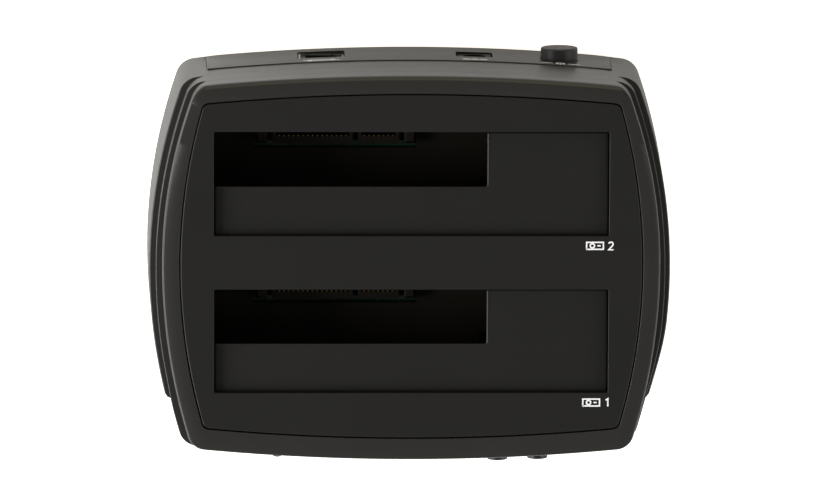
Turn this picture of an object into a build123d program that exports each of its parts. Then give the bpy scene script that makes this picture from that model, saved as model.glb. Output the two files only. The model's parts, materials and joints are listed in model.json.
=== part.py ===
"""Dual-bay hard drive docking station, as a set of separate pieces.

X runs to the right, the front faces -Y, the ports face +Y, and Z is up.
The origin is on the table, in the middle of the bounding box. Lengths are in millimetres.
Inside this file Y is counted from the centre of the top panel; origin_shift moves it at the end.
"""
import os
from math import sqrt

from build123d import *

# Drive slots in the top panel, one behind the other
slot_width = 104.0
slot_depth = 27.75
slot_pitch = 41.95
slot_corner_radius = 0.5

# Opening for small drives at the back left of each slot
small_slot_width = 71.9
small_slot_depth = 14.9

# Plan form of the top panel, as rims round the slots, and of the bezel round it
body_top = 60.0
foot_gap = 1.2
panel_rim = 8.9
panel_front_rim = 12.025
panel_rear_rim = 9.875
side_bow_radius = 153.6
end_bow_radius = 575.0
panel_corner_radius = 2.0
panel_gap = 0.3
panel_thickness = 2.0
panel_edge = 0.3
slot_edge = 0.25
ledge_width = 2.0
ledge_thickness = 1.6
snap_place = 15.0
snap_width = 8.0
snap_thickness = 1.2
snap_gap = 0.15
snap_barb = 0.9
snap_barb_height = 2.0
bezel_side = 4.9
bezel_front = 6.0
bezel_rear = 4.8
bezel_height = 4.5
bezel_corner_radius = 7.0
bezel_edge_radius = 3.5
wall = 2.2

# Stepped bands of the side walls, as distances beyond the panel's edge.
# cut_past is how far a cut runs past the face it starts from.
upper_band_height = 13.0
middle_band_height = 11.0
groove_height = 2.0
groove_depth = 1.0
groove_wall = 1.2
upper_band_flare = 0.3
middle_band_step = 6.4
middle_band_flare = 0.4
lower_band_step = 8.2
lower_band_flare = 1.4
band_shoulder = 0.6
skirt_front = -41.0
cut_past = 1.0

# Bay guides
guide_clearance = 0.3
guide_wall = 1.4
pocket_depth = 4.9
guide_floor_top = 28.5
guide_floor_thickness = 1.5
guide_rib_width = 2.0
guide_rib_top = 38.5
guide_rib_places = [-40.0, 0.0]
socket_window_margin = 1.8
flap_swing_margin = 1.0

# Flaps and their hinges
flap_recess = 2.3
flap_thickness = 1.8
flap_clearance = 0.4
flap_chamfer = 0.6
hinge_setback = 2.6
hinge_drop = 2.0
pin_radius = 0.8
pin_clearance = 0.05
knuckle_radius = 1.7
knuckle_end = 1.6
knuckle_gap = 14.0
knuckle_web_below = 0.9
knuckle_web_set_down = 0.6
ear_width = 2.0
ear_from_knuckle = 2.0
ear_clearance = 0.5
spring_wire = 0.6
spring_turns = 8
spring_pitch = 0.55
spring_leg_radius = 0.22
spring_clearance = 0.2
spring_leg = 8.0

# Boards
board_thickness = 1.6
main_board_top = 9.6
main_board_side = 8.0
main_board_depth = 40.5
main_board_from_wall = 4.4
drive_board_top = 24.8
drive_board_margin = 0.8
drive_board_front_margin = 6.925
drive_board_rear_margin = 5.875
board_corner_radius = 1.5

# Drive sockets: a power segment and a signal segment between two end guides
socket_length = 42.9
socket_centre_x = -19.7
socket_thickness = 5.0
socket_from_slot_back = 4.5
socket_height = 8.2
socket_base_height = 3.0
power_segment = (-36.6, -15.1)
signal_segment = (-13.8, -2.8)
end_guide_width = 3.2
end_guide_chamfer = 0.65
tongue_slot_width = 1.3
tongue_slot_depth = 5.0
tongue_slot_margin = 1.0
key_length = 1.4
contact_pitch = 1.27
contact_width = 0.5
contact_thickness = 0.25
power_contacts = 15
signal_contacts = 7

# Rear connection panel and what shows in it
io_beyond_slot = 2.0
io_bottom = 5.0
io_top = 29.2
io_gap = 0.2
io_proud = 0.3
io_seat_gap = 0.05
io_flange = 1.5
io_flange_thickness = 1.3
usb_from_end = 30.5
usb_hole_width = 12.6
usb_hole_height = 12.2
usb_hole_centre = 15.5
usb_shell_width = 12.0
usb_shell_height = 11.6
usb_shell_depth = 17.0
usb_shell_sheet = 0.4
usb_mouth_width = 8.4
usb_mouth_height = 7.8
usb_crown_width = 5.8
usb_crown_height = 2.6
usb_corner_width = 1.3
usb_corner_height = 1.5
usb_mouth_depth = 9.0
usb_tongue_width = 5.6
usb_tongue_height = 3.2
usb_contact_width = 1.0
usb_contact_pitch = 2.5
usb_contact_length = 7.0
usb_contact_thickness = 0.2
usb_set_in = 0.6
dc_from_power = 22.8
dc_hole_width = 9.8
dc_hole_height = 9.2
dc_hole_centre = 17.0
dc_body_width = 9.0
dc_body_depth = 14.0
dc_nose_height = 8.6
dc_bore_radius = 3.1
dc_bore_depth = 9.5
dc_pin_radius = 1.05
dc_pin_edge = 0.5
dc_pin_set_in = 1.0
dc_set_in = 0.5

# Power button and its switch
power_from_end = 13.7
power_z = 17.5
power_radius = 4.75
power_hole_clearance = 0.3
power_proud = 2.1
power_edge = 0.6
power_travel = 2.5
power_flange = 0.7
power_flange_thickness = 1.2
power_flange_gap = 0.3
power_switch_gap = 0.3
power_switch_width = 8.4
power_switch_depth = 11.0
power_plunger_width = 3.0
power_plunger_clearance = 0.15
power_plunger_reach = 3.5

# Front buttons and indicator
start_button_x = 22.9
mode_button_x = 33.5
button_drop = 9.0
button_radius = 2.6
button_hole_clearance = 0.2
button_proud = 1.9
button_dome = 0.35
button_travel = 0.5
button_flange = 1.0
button_flange_thickness = 0.8
button_flange_gap = 0.15
button_stem_radius = 1.5
led_x = -35.3
led_radius = 1.5
led_proud = 1.0
led_hole_clearance = 0.1
led_body_length = 4.4
led_rim = 0.4
led_rim_thickness = 0.9
led_leg_width = 0.5
led_leg_pitch = 2.54
front_board_margin = 2.3
front_board_height = 11.2
front_board_gap = 0.4
switch_width = 6.0
switch_height = 3.2
switch_plunger_radius = 1.7
switch_plunger_length = 1.6
switch_plunger_sunk = 0.9
switch_plunger_clearance = 0.1
rail_width = 4.0
rail_overlap = 1.6
rail_clearance = 0.1

# Base tray, feet, posts and screws
tray_thickness = 2.2
tray_gap = 0.2
foot_radius = 5.0
foot_sunk = 1.0
foot_from_side = 10.9
foot_from_end = 9.8
foot_fit = 0.1
foot_edge = 0.5
boss_radius = 3.0
boss_from_side = 0.4
boss_from_end = 15.8
boss_depth = 12.0
post_radius = 2.6
screw_radius = 1.3
screw_clearance = 0.05
screw_head_radius = 2.4
screw_head_height = 1.7
screw_head_chamfer = 0.55
screw_reach = 7.0
cross_length = 2.2
cross_width = 0.6
case_head_sunk = 1.6
main_screw_inset = 4.0
main_screw_from_power = 11.3
drive_screw_inset = 4.5
drive_screw_front_inset = 9.5
drive_screw_edge = 3.0
vent_rows = 2
vent_row_pitch = 14.0
vent_row_place = 19.0
vent_count = 9
vent_pitch = 9.0
vent_width = 3.0
vent_length = 10.0

# Parts on the boards
header_length = 26.0
header_width = 5.0
header_from_side = 16.0
header_from_front = 10.5
header_waist = 0.8
chip_size = 12.0
chip_height = 1.4
chip_chamfer = 0.2
chip_from_front = 14.5
lead_count = 9
lead_pitch = 1.0
lead_width = 0.4
lead_length = 1.0
lead_height = 0.5
capacitor_radius = 3.15
capacitor_height = 7.7
capacitor_edge = 0.5
capacitor_from_front = 8.5
capacitor_from_inlet = 9.5
capacitor_pitch = 8.0
choke_size = 9.0
choke_corner = 1.5
choke_height = 4.0
choke_from_inlet = 1.5
choke_from_front = 19.0
crystal_length = 10.0
crystal_width = 4.4
crystal_height = 3.4
crystal_from_chip = 14.0
board_parts_x = -2.0
bay_chip_size = 4.4
bay_chip_height = 0.9
bay_chip_count = 3
bay_chip_pitch = 24.0

# Heights and places worked out from the values above
panel_width = slot_width + 2 * panel_rim
panel_depth = slot_pitch + slot_depth + panel_front_rim + panel_rear_rim
front_slot_centre = -panel_depth / 2 + panel_front_rim + slot_depth / 2
slot_centres = {"front": front_slot_centre, "rear": front_slot_centre + slot_pitch}
button_places = {"start": start_button_x, "mode": mode_button_x}
panel_bottom = body_top - panel_thickness
roof_bottom = panel_bottom - ledge_thickness
upper_band_bottom = body_top - upper_band_height
middle_band_top = upper_band_bottom - groove_height
middle_band_bottom = middle_band_top - middle_band_height
lower_band_top = middle_band_bottom - groove_height
upper_groove_side = bezel_side + upper_band_flare - groove_depth
lower_groove_side = middle_band_step + middle_band_flare - groove_depth
front_apex = -panel_depth / 2 - bezel_front
rear_apex = panel_depth / 2 + bezel_rear
front_reach = -front_apex + button_proud
rear_reach = rear_apex + power_proud
origin_shift = Pos(0, (front_reach - rear_reach) / 2, 0)
tray_top = foot_gap + tray_thickness
button_z = body_top - button_drop
io_half_width = slot_width / 2 + io_beyond_slot
usb_x = usb_from_end - io_half_width
power_x = io_half_width - power_from_end
dc_x = power_x - dc_from_power
flap_top = body_top - flap_recess
flap_bottom = flap_top - flap_thickness
hinge_z = flap_top - hinge_drop
guide_half_width = slot_width / 2 + guide_clearance
guide_reach = guide_half_width + guide_wall
small_slot_right = -slot_width / 2 + small_slot_width
guide_fronts = {n: c - slot_depth / 2 - pocket_depth - guide_wall for n, c in slot_centres.items()}
guide_backs = {n: c + slot_depth / 2 + guide_clearance + guide_wall for n, c in slot_centres.items()}
web_y = (guide_backs["front"] + guide_fronts["rear"]) / 2
knuckle_length = (slot_width - 2 * (flap_clearance + knuckle_end + knuckle_gap)) / 3
knuckle_pitch = knuckle_length + knuckle_gap
ear_place = knuckle_length / 2 + knuckle_gap - ear_from_knuckle - ear_width / 2
front_board_back = guide_fronts["front"] - front_board_gap
front_board_face = front_board_back - board_thickness
switch_face = front_board_face - switch_height
front_board_width = 2 * (guide_reach + front_board_margin)

# Boards and their screws, the feet and the case screws
main_board_width = 2 * (io_half_width - main_board_side)
main_board_rear = rear_apex - wall - main_board_from_wall
main_board_front = main_board_rear - main_board_depth
main_board_bottom = main_board_top - board_thickness
main_screw_side = main_board_width / 2 - main_screw_inset
main_screw_front = main_board_front + main_screw_inset
main_screw_rear = main_board_rear - main_screw_inset
main_screw_places = [
    (-main_screw_side, main_screw_front),
    (main_screw_side, main_screw_front),
    (-main_screw_side, main_screw_rear),
    (power_x - main_screw_from_power, main_screw_rear),
]
drive_board_width = 2 * (guide_reach + drive_board_margin)
drive_board_front = guide_fronts["front"] - drive_board_front_margin
drive_board_rear = guide_backs["rear"] + drive_board_rear_margin
drive_board_bottom = drive_board_top - board_thickness
drive_screw_side = drive_board_width / 2 - drive_screw_inset
drive_screw_front_side = drive_board_width / 2 - drive_screw_front_inset
drive_screw_places = [
    (side * x, y)
    for x, y in (
        (drive_screw_side, web_y),
        (drive_screw_front_side, drive_board_front + drive_screw_edge),
        (drive_screw_side, drive_board_rear - drive_screw_edge),
    )
    for side in (-1, 1)
]
foot_x = panel_width / 2 - foot_from_side
foot_y = panel_depth / 2 - foot_from_end
foot_places = [(-foot_x, -foot_y), (foot_x, -foot_y), (-foot_x, foot_y), (foot_x, foot_y)]
boss_x = panel_width / 2 + boss_from_side
boss_y = panel_depth / 2 - boss_from_end
boss_places = [(-boss_x, -boss_y), (boss_x, -boss_y), (-boss_x, boss_y), (boss_x, boss_y)]


def group(shapes):
    """Several separate solids as one node."""
    return Part() + shapes


def set_back(x):
    """How far the bowed front or rear wall falls back at x from its foremost point."""
    return end_bow_radius - sqrt(end_bow_radius**2 - x**2)


def side_set_back(y):
    """How far the panel's bowed side falls back at y from its widest point."""
    return side_bow_radius - sqrt(side_bow_radius**2 - y**2)


def hinge_place(centre):
    """Y of the hinge axis of the flap over the slot with this centre."""
    return centre - slot_depth / 2 - hinge_setback


def socket_place(centre):
    """Y of the middle plane of the drive socket under the slot with this centre."""
    return centre + slot_depth / 2 - socket_from_slot_back


def block(x0, x1, y0, y1, z0, z1):
    """Box between two corners."""
    return Pos((x0 + x1) / 2, (y0 + y1) / 2, (z0 + z1) / 2) * Box(x1 - x0, y1 - y0, z1 - z0)


def upright(x, y, z0, z1, radius):
    """Vertical cylinder from z0 to z1."""
    return Pos(x, y, (z0 + z1) / 2) * Cylinder(radius, z1 - z0)


def along_y(x, z, y0, y1, radius):
    """Cylinder along Y from y0 to y1."""
    return Pos(x, (y0 + y1) / 2, z) * Rot(90, 0, 0) * Cylinder(radius, abs(y1 - y0))


def along_x(y, z, x0, x1, radius):
    """Cylinder along X from x0 to x1."""
    return Pos((x0 + x1) / 2, y, z) * Rot(0, 90, 0) * Cylinder(radius, abs(x1 - x0))


def outline(z, side, front, rear, corner):
    """Barrel-shaped plan at height z: four bowed edges, each so far beyond the panel's edge."""
    side_centre = side_bow_radius - panel_width / 2
    end_centre = end_bow_radius - panel_depth / 2
    left = Pos(side_centre, 0) * Circle(side_bow_radius + side)
    right = Pos(-side_centre, 0) * Rot(0, 0, 180) * Circle(side_bow_radius + side)
    front_disc = Pos(0, end_centre) * Circle(end_bow_radius + front)
    rear_disc = Pos(0, -end_centre) * Circle(end_bow_radius + rear)
    plan = left & right & front_disc & rear_disc
    return Pos(0, 0, z) * fillet(plan.vertices(), corner)


def body_outline(z, side, inset=0.0):
    """Plan of the body at height z, drawn in by inset all round."""
    return outline(z, side - inset, bezel_front - inset, bezel_rear - inset, bezel_corner_radius - inset)


def band(z0, side0, z1, side1, inset=0.0):
    """Body slice whose sides lean from side0 at z0 to side1 at z1, while front and rear stay upright."""
    lower = body_outline(z0, side0, inset).face()
    upper = body_outline(z1, side1, inset).face()
    return loft([lower, upper], ruled=True)


def lower_side_at(z):
    """How far the lower band stands beyond the panel's edge at height z."""
    return lower_band_step + lower_band_flare * (1 - (z - foot_gap) / (lower_band_top - wall - foot_gap))


def behind(y):
    """Everything behind y, as a large block."""
    return block(-panel_width, panel_width, y, panel_depth, -body_top, 2 * body_top)


def shouldered_band(z0, side0, z1, side1):
    """Side band with its top edge eased."""
    shoulder_z = z1 - band_shoulder
    return band(z0, side0, shoulder_z, side1) + band(shoulder_z, side1, z1, side1 - band_shoulder)


def body_solid():
    """Outside of the cover: bezel, three side bands and the two grooves between them."""
    bezel_z = body_top - bezel_height
    bezel = extrude(body_outline(bezel_z, bezel_side), bezel_height)
    bezel = fillet(bezel.faces().sort_by(Axis.Z)[-1].edges(), bezel_edge_radius)
    upper = band(upper_band_bottom, bezel_side + upper_band_flare, bezel_z, bezel_side)
    neck = extrude(body_outline(middle_band_top, upper_groove_side), groove_height)
    middle_side = middle_band_step + middle_band_flare
    middle = shouldered_band(middle_band_bottom, middle_side, middle_band_top, middle_band_step)
    core = extrude(body_outline(foot_gap, lower_groove_side), middle_band_bottom - foot_gap)
    lower_side = lower_band_step + lower_band_flare
    lower = shouldered_band(foot_gap, lower_side, lower_band_top, lower_band_step)
    return bezel + upper + neck + middle + core + (lower & behind(skirt_front))


def body_cavity():
    """Inside of the cover, open at the bottom, with the walls of the grooves kept."""
    end_insets = (bezel_front - wall, bezel_rear - wall, bezel_corner_radius - wall)
    upper = extrude(outline(0, upper_groove_side - groove_wall, *end_insets), roof_bottom)
    middle = extrude(outline(0, lower_groove_side - groove_wall, *end_insets), middle_band_top - wall)
    lower_side = lower_band_step + lower_band_flare
    lower = band(foot_gap, lower_side, lower_band_top - wall, lower_band_step, inset=wall)
    return upper + middle + (lower & behind(skirt_front + wall))


def cover_shell():
    """One moulding: bezel, walls, ledge for the panel, window for the ports, bosses and board rails."""
    shell = body_solid() - body_cavity()
    panel_seat = outline(panel_bottom, 0, 0, 0, panel_corner_radius)
    shell -= extrude(panel_seat, panel_thickness)
    shell -= extrude(outline(roof_bottom, *[-ledge_width] * 3, panel_corner_radius), ledge_thickness)
    shell -= block(-io_half_width, io_half_width, 0, panel_depth, io_bottom, io_top)
    holes = [(x, button_radius + button_hole_clearance) for x in button_places.values()]
    holes.append((led_x, led_radius + led_hole_clearance))
    for x, radius in holes:
        shell -= along_y(x, button_z, front_apex - cut_past, front_apex + 2 * wall, radius)
    for x, y in boss_places:
        shell += upright(x, y, tray_top, lower_band_top, boss_radius)
    for x, y in boss_places:
        shell -= upright(x, y, tray_top, tray_top + boss_depth, screw_radius + screw_clearance)
    return shell + front_board_rails()


def front_board_rails():
    """Two slotted rails on the front wall, which hold the ends of the front board."""
    edge = front_board_width / 2
    inner = edge - rail_overlap
    low = front_board_low()
    rail = block(
        inner, inner + rail_width, front_apex + wall / 2, front_board_back + rail_overlap, low, roof_bottom
    )
    rail &= extrude(body_outline(0, upper_groove_side, wall / 2), body_top)
    rail -= block(
        inner - cut_past,
        edge + rail_clearance,
        front_board_face - rail_clearance,
        front_board_back + rail_clearance,
        low - cut_past,
        roof_bottom,
    )
    return rail + mirror(rail, Plane.YZ)


def front_board_low():
    """Height of the front board's lower edge."""
    return roof_bottom - rail_clearance - front_board_height


def top_panel():
    """Inset panel with the two drive slots and four locating tabs under it."""
    shrink = -panel_gap / 2
    panel = extrude(outline(panel_bottom, shrink, shrink, shrink, panel_corner_radius), panel_thickness)
    panel = fillet(panel.faces().sort_by(Axis.Z)[-1].edges(), panel_edge)
    for centre in slot_centres.values():
        slot = Pos(0, centre) * RectangleRounded(slot_width, slot_depth, slot_corner_radius)
        panel -= extrude(Pos(0, 0, panel_bottom) * slot, panel_thickness)
    slot_rims = [wire.edges() for wire in panel.faces().sort_by(Axis.Z)[-1].inner_wires()]
    panel = fillet([edge for rim in slot_rims for edge in rim], slot_edge)
    for y in (-snap_place, snap_place):
        edge = panel_width / 2 - ledge_width - side_set_back(abs(y) + snap_width / 2) - snap_gap
        for side in (-1, 1):
            panel += snap_tab(side, edge, y)
    return panel


def snap_tab(side, edge, y):
    """Tab under the panel, with a barb that catches under the cover's ledge."""
    low = roof_bottom - snap_gap - snap_barb_height
    profile = make_face(
        Polyline(
            (edge - snap_thickness, panel_bottom),
            (edge, panel_bottom),
            (edge, roof_bottom - snap_gap),
            (edge + snap_barb, roof_bottom - snap_gap),
            (edge, low),
            (edge - snap_thickness, low),
            close=True,
        )
    )
    tab = Pos(0, y + snap_width / 2, 0) * Rot(90, 0, 0) * extrude(profile, snap_width)
    return tab if side > 0 else mirror(tab, Plane.YZ)


def bay_guide(centre):
    """Walls and floor of one bay, with the flap's pocket along its front and ears for the hinge pin."""
    slot_front = centre - slot_depth / 2
    slot_back = centre + slot_depth / 2 + guide_clearance
    inside_front = slot_front - pocket_depth
    plan = Pos(0, (inside_front + slot_back) / 2, drive_board_top) * RectangleRounded(
        2 * guide_reach, slot_back - inside_front + 2 * guide_wall, guide_wall
    )
    guide = extrude(plan, panel_bottom - drive_board_top)
    guide -= block(
        -guide_half_width, guide_half_width, inside_front, slot_back, drive_board_top, panel_bottom
    )
    floor_low = guide_floor_top - guide_floor_thickness
    guide += block(-guide_half_width, guide_half_width, slot_front, slot_back, floor_low, guide_floor_top)
    guide -= block(
        socket_centre_x - socket_length / 2 - guide_clearance,
        socket_centre_x + socket_length / 2 + guide_clearance,
        socket_place(centre) - socket_thickness / 2 - socket_window_margin,
        slot_back,
        drive_board_top,
        guide_floor_top,
    )
    guide -= block(
        small_slot_right - flap_swing_margin,
        guide_half_width,
        slot_front,
        slot_front + flap_relief(),
        drive_board_top,
        guide_floor_top,
    )
    for x in guide_rib_places:
        half = guide_rib_width / 2
        guide += block(x - half, x + half, inside_front, slot_front, drive_board_top, guide_rib_top)
    hinge_y = hinge_place(centre)
    for x in (-ear_place, ear_place):
        half = ear_width / 2
        guide += along_x(hinge_y, hinge_z, x - half, x + half, knuckle_radius)
        guide += block(
            x - half, x + half, inside_front, hinge_y, hinge_z - knuckle_radius, hinge_z + knuckle_radius
        )
    return guide - along_x(hinge_y, hinge_z, -guide_reach, guide_reach, pin_radius + pin_clearance)


def flap_relief():
    """Depth of floor cut away so that the flap's long arm swings past it."""
    arm = hinge_setback + slot_depth - flap_clearance
    drop = hinge_z - guide_floor_top
    reach = sqrt(max(arm**2 - drop**2, hinge_setback**2))
    return reach - hinge_setback + flap_swing_margin


def flap(centre):
    """L-shaped flap: a plate that leaves the small-drive opening free, on three knuckles."""
    slot_back = centre + slot_depth / 2
    hinge_y = hinge_place(centre)
    half = slot_width / 2 - flap_clearance
    plate_front = hinge_y + knuckle_radius + ear_clearance
    plate = block(-half, half, plate_front, slot_back - flap_clearance, flap_bottom, flap_top)
    notch_front = slot_back - small_slot_depth
    plate -= block(-half - cut_past, small_slot_right, notch_front, slot_back, flap_bottom, flap_top)
    lower_edges = plate.edges().filter_by(Axis.X).group_by(Axis.Z)[0]
    plate = chamfer(lower_edges.sort_by(Axis.Y)[1:], flap_chamfer)
    for x in (-knuckle_pitch, 0, knuckle_pitch):
        low = x - knuckle_length / 2
        high = x + knuckle_length / 2
        plate += along_x(hinge_y, hinge_z, low, high, knuckle_radius)
        plate += block(
            low, high, hinge_y, plate_front, flap_bottom - knuckle_web_below, flap_top - knuckle_web_set_down
        )
    return plate - along_x(hinge_y, hinge_z, -half, half, pin_radius + pin_clearance)


def flap_pin(centre):
    """Steel hinge pin through the guide's side walls, the ears and the knuckles."""
    return along_x(hinge_place(centre), hinge_z, -guide_reach, guide_reach, pin_radius)


def flap_spring(centre):
    """Close-wound torsion spring on the pin, with a leg to the guide and a longer one under the flap."""
    coil_radius = pin_radius + spring_clearance + spring_wire / 2
    start = knuckle_length / 2 + ear_clearance
    turns_x = [start + spring_wire / 2 + spring_pitch * turn for turn in range(spring_turns)]
    profile = Sketch() + [Pos(x, coil_radius) * Circle(spring_wire / 2) for x in turns_x]
    coil = revolve(profile, Axis.X)
    leg_end = (turns_x[0], spring_leg, flap_bottom - hinge_z - spring_leg_radius)
    leg = rod((turns_x[0], 0, -coil_radius), leg_end, spring_leg_radius)
    tail_end = (turns_x[-1], hinge_setback - pocket_depth, -coil_radius)
    tail = rod((turns_x[-1], spring_wire / 2, -coil_radius), tail_end, spring_leg_radius)
    return Pos(0, hinge_place(centre), hinge_z) * (coil + leg + tail)


def rod(start, end, radius):
    """Round rod between two points."""
    path = Line(start, end)
    return extrude(Plane(origin=start, z_dir=path % 0) * Circle(radius), path.length)


def board(width, front, rear, top):
    """Circuit board with rounded corners."""
    plan = Pos(0, (front + rear) / 2, top - board_thickness) * RectangleRounded(
        width, rear - front, board_corner_radius
    )
    return extrude(plan, board_thickness)


def screw(x, y, seat):
    """Pan-head screw standing in its hole, with the underside of its head at seat."""
    head = upright(x, y, seat, seat + screw_head_height, screw_head_radius)
    head = chamfer(head.edges().sort_by(Axis.Z)[-1:], screw_head_chamfer)
    shank = upright(x, y, seat - screw_reach, seat, screw_radius)
    bar = Box(cross_length, cross_width, screw_head_height)
    cross = bar + Rot(0, 0, 90) * bar
    return head + shank - Pos(x, y, seat + screw_head_height) * cross


def drilled(shape, places, z0, z1):
    """The shape with a screw hole at each place."""
    for x, y in places:
        shape -= upright(x, y, z0, z1, screw_radius + screw_clearance)
    return shape


def main_board():
    """Lower board, with the ports along its rear edge."""
    shape = board(main_board_width, main_board_front, main_board_rear, main_board_top)
    return drilled(shape, main_screw_places, main_board_bottom, main_board_top)


def drive_board():
    """Upper board, which carries the drive sockets and the bay guides."""
    shape = board(drive_board_width, drive_board_front, drive_board_rear, drive_board_top)
    return drilled(shape, drive_screw_places, drive_board_bottom, drive_board_top)


def front_board():
    """Upright board behind the front wall, for the two switches and the light."""
    half = front_board_width / 2
    low = front_board_low()
    return block(-half, half, front_board_face, front_board_back, low, low + front_board_height)


def drive_socket(centre):
    """Upright socket: a power and a signal segment, each with its L-shaped slot, between end guides."""
    y = socket_place(centre)
    front = y - socket_thickness / 2
    back = y + socket_thickness / 2
    left = socket_centre_x - socket_length / 2
    right = socket_centre_x + socket_length / 2
    top = drive_board_top + socket_height
    body = block(left, right, front, back, drive_board_top, drive_board_top + socket_base_height)
    for x0, x1 in (power_segment, signal_segment):
        body += block(x0, x1, front, back, drive_board_top, top)
        slot_x0 = x0 + tongue_slot_margin
        slot_x1 = x1 - tongue_slot_margin
        half = tongue_slot_width / 2
        body -= block(slot_x0, slot_x1, y - half, y + half, top - tongue_slot_depth, top)
        body -= block(slot_x0, slot_x0 + tongue_slot_width, y, y + key_length, top - tongue_slot_depth, top)
    for x0, x1 in ((left, left + end_guide_width), (right - end_guide_width, right)):
        post = block(x0, x1, front, back, drive_board_top, top)
        body += chamfer(post.edges().group_by(Axis.Z)[-1], end_guide_chamfer)
    return body


def drive_contacts(centre):
    """Contact strips on the front wall of both slots."""
    front = socket_place(centre) - tongue_slot_width / 2
    back = front + contact_thickness
    high = drive_board_top + socket_height - contact_width
    low = drive_board_top + socket_height - tongue_slot_depth
    half = contact_width / 2
    strips = []
    for (x0, x1), count in ((power_segment, power_contacts), (signal_segment, signal_contacts)):
        for i in range(count):
            x = (x0 + x1) / 2 + (i - (count - 1) / 2) * contact_pitch
            strips.append(block(x - half, x + half, front, back, low, high))
    return group(strips)


def rear_bow(reach):
    """Column whose rear edge has the bow of the rear wall, so far beyond the panel's edge."""
    return extrude(Pos(0, panel_depth / 2 - end_bow_radius) * Circle(end_bow_radius + reach), body_top)


def io_panel():
    """Rear panel: a bowed plate that fills the window, with a flange behind the cover's wall."""
    half = io_half_width - io_gap
    low = io_bottom + io_gap
    high = io_top - io_gap
    depth = panel_depth
    inside = rear_bow(bezel_rear - wall - io_seat_gap)
    plate = (rear_bow(bezel_rear + io_proud) - inside) & block(-half, half, 0, depth, low, high)
    grow = io_flange + io_gap
    ring = inside - rear_bow(bezel_rear - wall - io_seat_gap - io_flange_thickness)
    ring &= block(-half - grow, half + grow, 0, depth, low - grow, high + grow)
    ring -= block(-half + grow, half - grow, 0, depth, low + grow, high - grow)
    shape = plate + ring
    for x, z, width, height in (
        (usb_x, usb_hole_centre, usb_hole_width, usb_hole_height),
        (dc_x, dc_hole_centre, dc_hole_width, dc_hole_height),
    ):
        shape -= block(x - width / 2, x + width / 2, 0, depth, z - height / 2, z + height / 2)
    return shape - along_y(power_x, power_z, 0, depth, power_radius + power_hole_clearance)


def wall_face(x):
    """Y of the rear panel's outer face at x."""
    return rear_apex + io_proud - set_back(x)


def usb_mouth(y0, y1):
    """Space inside the data socket: a square mouth with cut upper corners and a narrower crown."""
    low = usb_hole_centre - (usb_mouth_height + usb_crown_height) / 2
    half = usb_mouth_width / 2
    half_crown = usb_crown_width / 2
    shoulder = low + usb_mouth_height
    points = [
        (-half, low),
        (half, low),
        (half, shoulder - usb_corner_height),
        (half - usb_corner_width, shoulder),
        (half_crown, shoulder),
        (half_crown, shoulder + usb_crown_height),
        (-half_crown, shoulder + usb_crown_height),
        (-half_crown, shoulder),
        (-half + usb_corner_width, shoulder),
        (-half, shoulder - usb_corner_height),
    ]
    face = make_face(Polyline(*points, close=True))
    return Pos(usb_x, y1, 0) * Rot(90, 0, 0) * extrude(face, y1 - y0)


def usb_socket_shell():
    """Folded metal shell of the data socket."""
    back = wall_face(usb_x) - usb_set_in
    front = back - usb_shell_depth
    half = usb_shell_width / 2
    low = usb_hole_centre - usb_shell_height / 2
    high = usb_hole_centre + usb_shell_height / 2
    shell = block(usb_x - half, usb_x + half, front, back, low, high)
    sheet = usb_shell_sheet
    shell -= block(usb_x - half + sheet, usb_x + half - sheet, front, back, low + sheet, high - sheet)
    return shell


def usb_socket_insert():
    """Plastic insert of the data socket, with its mouth and contact tongue."""
    back = wall_face(usb_x) - usb_set_in - usb_shell_sheet
    front = wall_face(usb_x) - usb_set_in - usb_shell_depth
    half = usb_shell_width / 2 - usb_shell_sheet
    half_height = usb_shell_height / 2 - usb_shell_sheet
    body = block(
        usb_x - half, usb_x + half, front, back, usb_hole_centre - half_height, usb_hole_centre + half_height
    )
    body -= usb_mouth(back - usb_mouth_depth, back)
    low = usb_hole_centre - (usb_mouth_height + usb_crown_height) / 2
    middle = low + usb_mouth_height / 2
    return body + block(
        usb_x - usb_tongue_width / 2,
        usb_x + usb_tongue_width / 2,
        back - usb_mouth_depth,
        back - usb_shell_sheet,
        middle - usb_tongue_height / 2,
        middle + usb_tongue_height / 2,
    )


def usb_contacts():
    """Contact strips on both faces of the data socket's tongue."""
    back = wall_face(usb_x) - usb_set_in - 2 * usb_shell_sheet
    middle = usb_hole_centre - usb_crown_height / 2
    strips = []
    for side in (-1, 1):
        for place in (-1, 1):
            x = usb_x + place * usb_contact_pitch / 2
            z0, z1 = sorted(middle + side * (usb_tongue_height / 2 + t) for t in (0, usb_contact_thickness))
            half = usb_contact_width / 2
            strips.append(block(x - half, x + half, back - usb_contact_length, back, z0, z1))
    return group(strips)


def dc_jack_body():
    """Power inlet: a block on the board with a square nose in the panel and a round bore."""
    back = wall_face(dc_x) - dc_set_in
    inside = rear_apex - wall - io_seat_gap - io_flange_thickness - set_back(dc_x)
    half = dc_body_width / 2
    top = dc_hole_centre + dc_nose_height / 2
    nose = block(dc_x - half, dc_x + half, inside, back, dc_hole_centre - dc_nose_height / 2, top)
    body = block(dc_x - half, dc_x + half, back - dc_body_depth, inside, main_board_top, top)
    return nose + body - along_y(dc_x, dc_hole_centre, back - dc_bore_depth, back, dc_bore_radius)


def dc_jack_pin():
    """Centre pin of the power inlet, rooted in the bottom of the bore."""
    back = wall_face(dc_x) - dc_set_in
    pin = along_y(dc_x, dc_hole_centre, back - dc_bore_depth, back - dc_pin_set_in, dc_pin_radius)
    return fillet(pin.edges().sort_by(Axis.Y)[-1:], dc_pin_edge)


def power_flange_face():
    """Y of the power button's flange, behind the rear panel."""
    far_edge = power_x + power_radius + power_flange
    return rear_apex - wall - io_seat_gap - set_back(far_edge) - power_flange_gap


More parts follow.
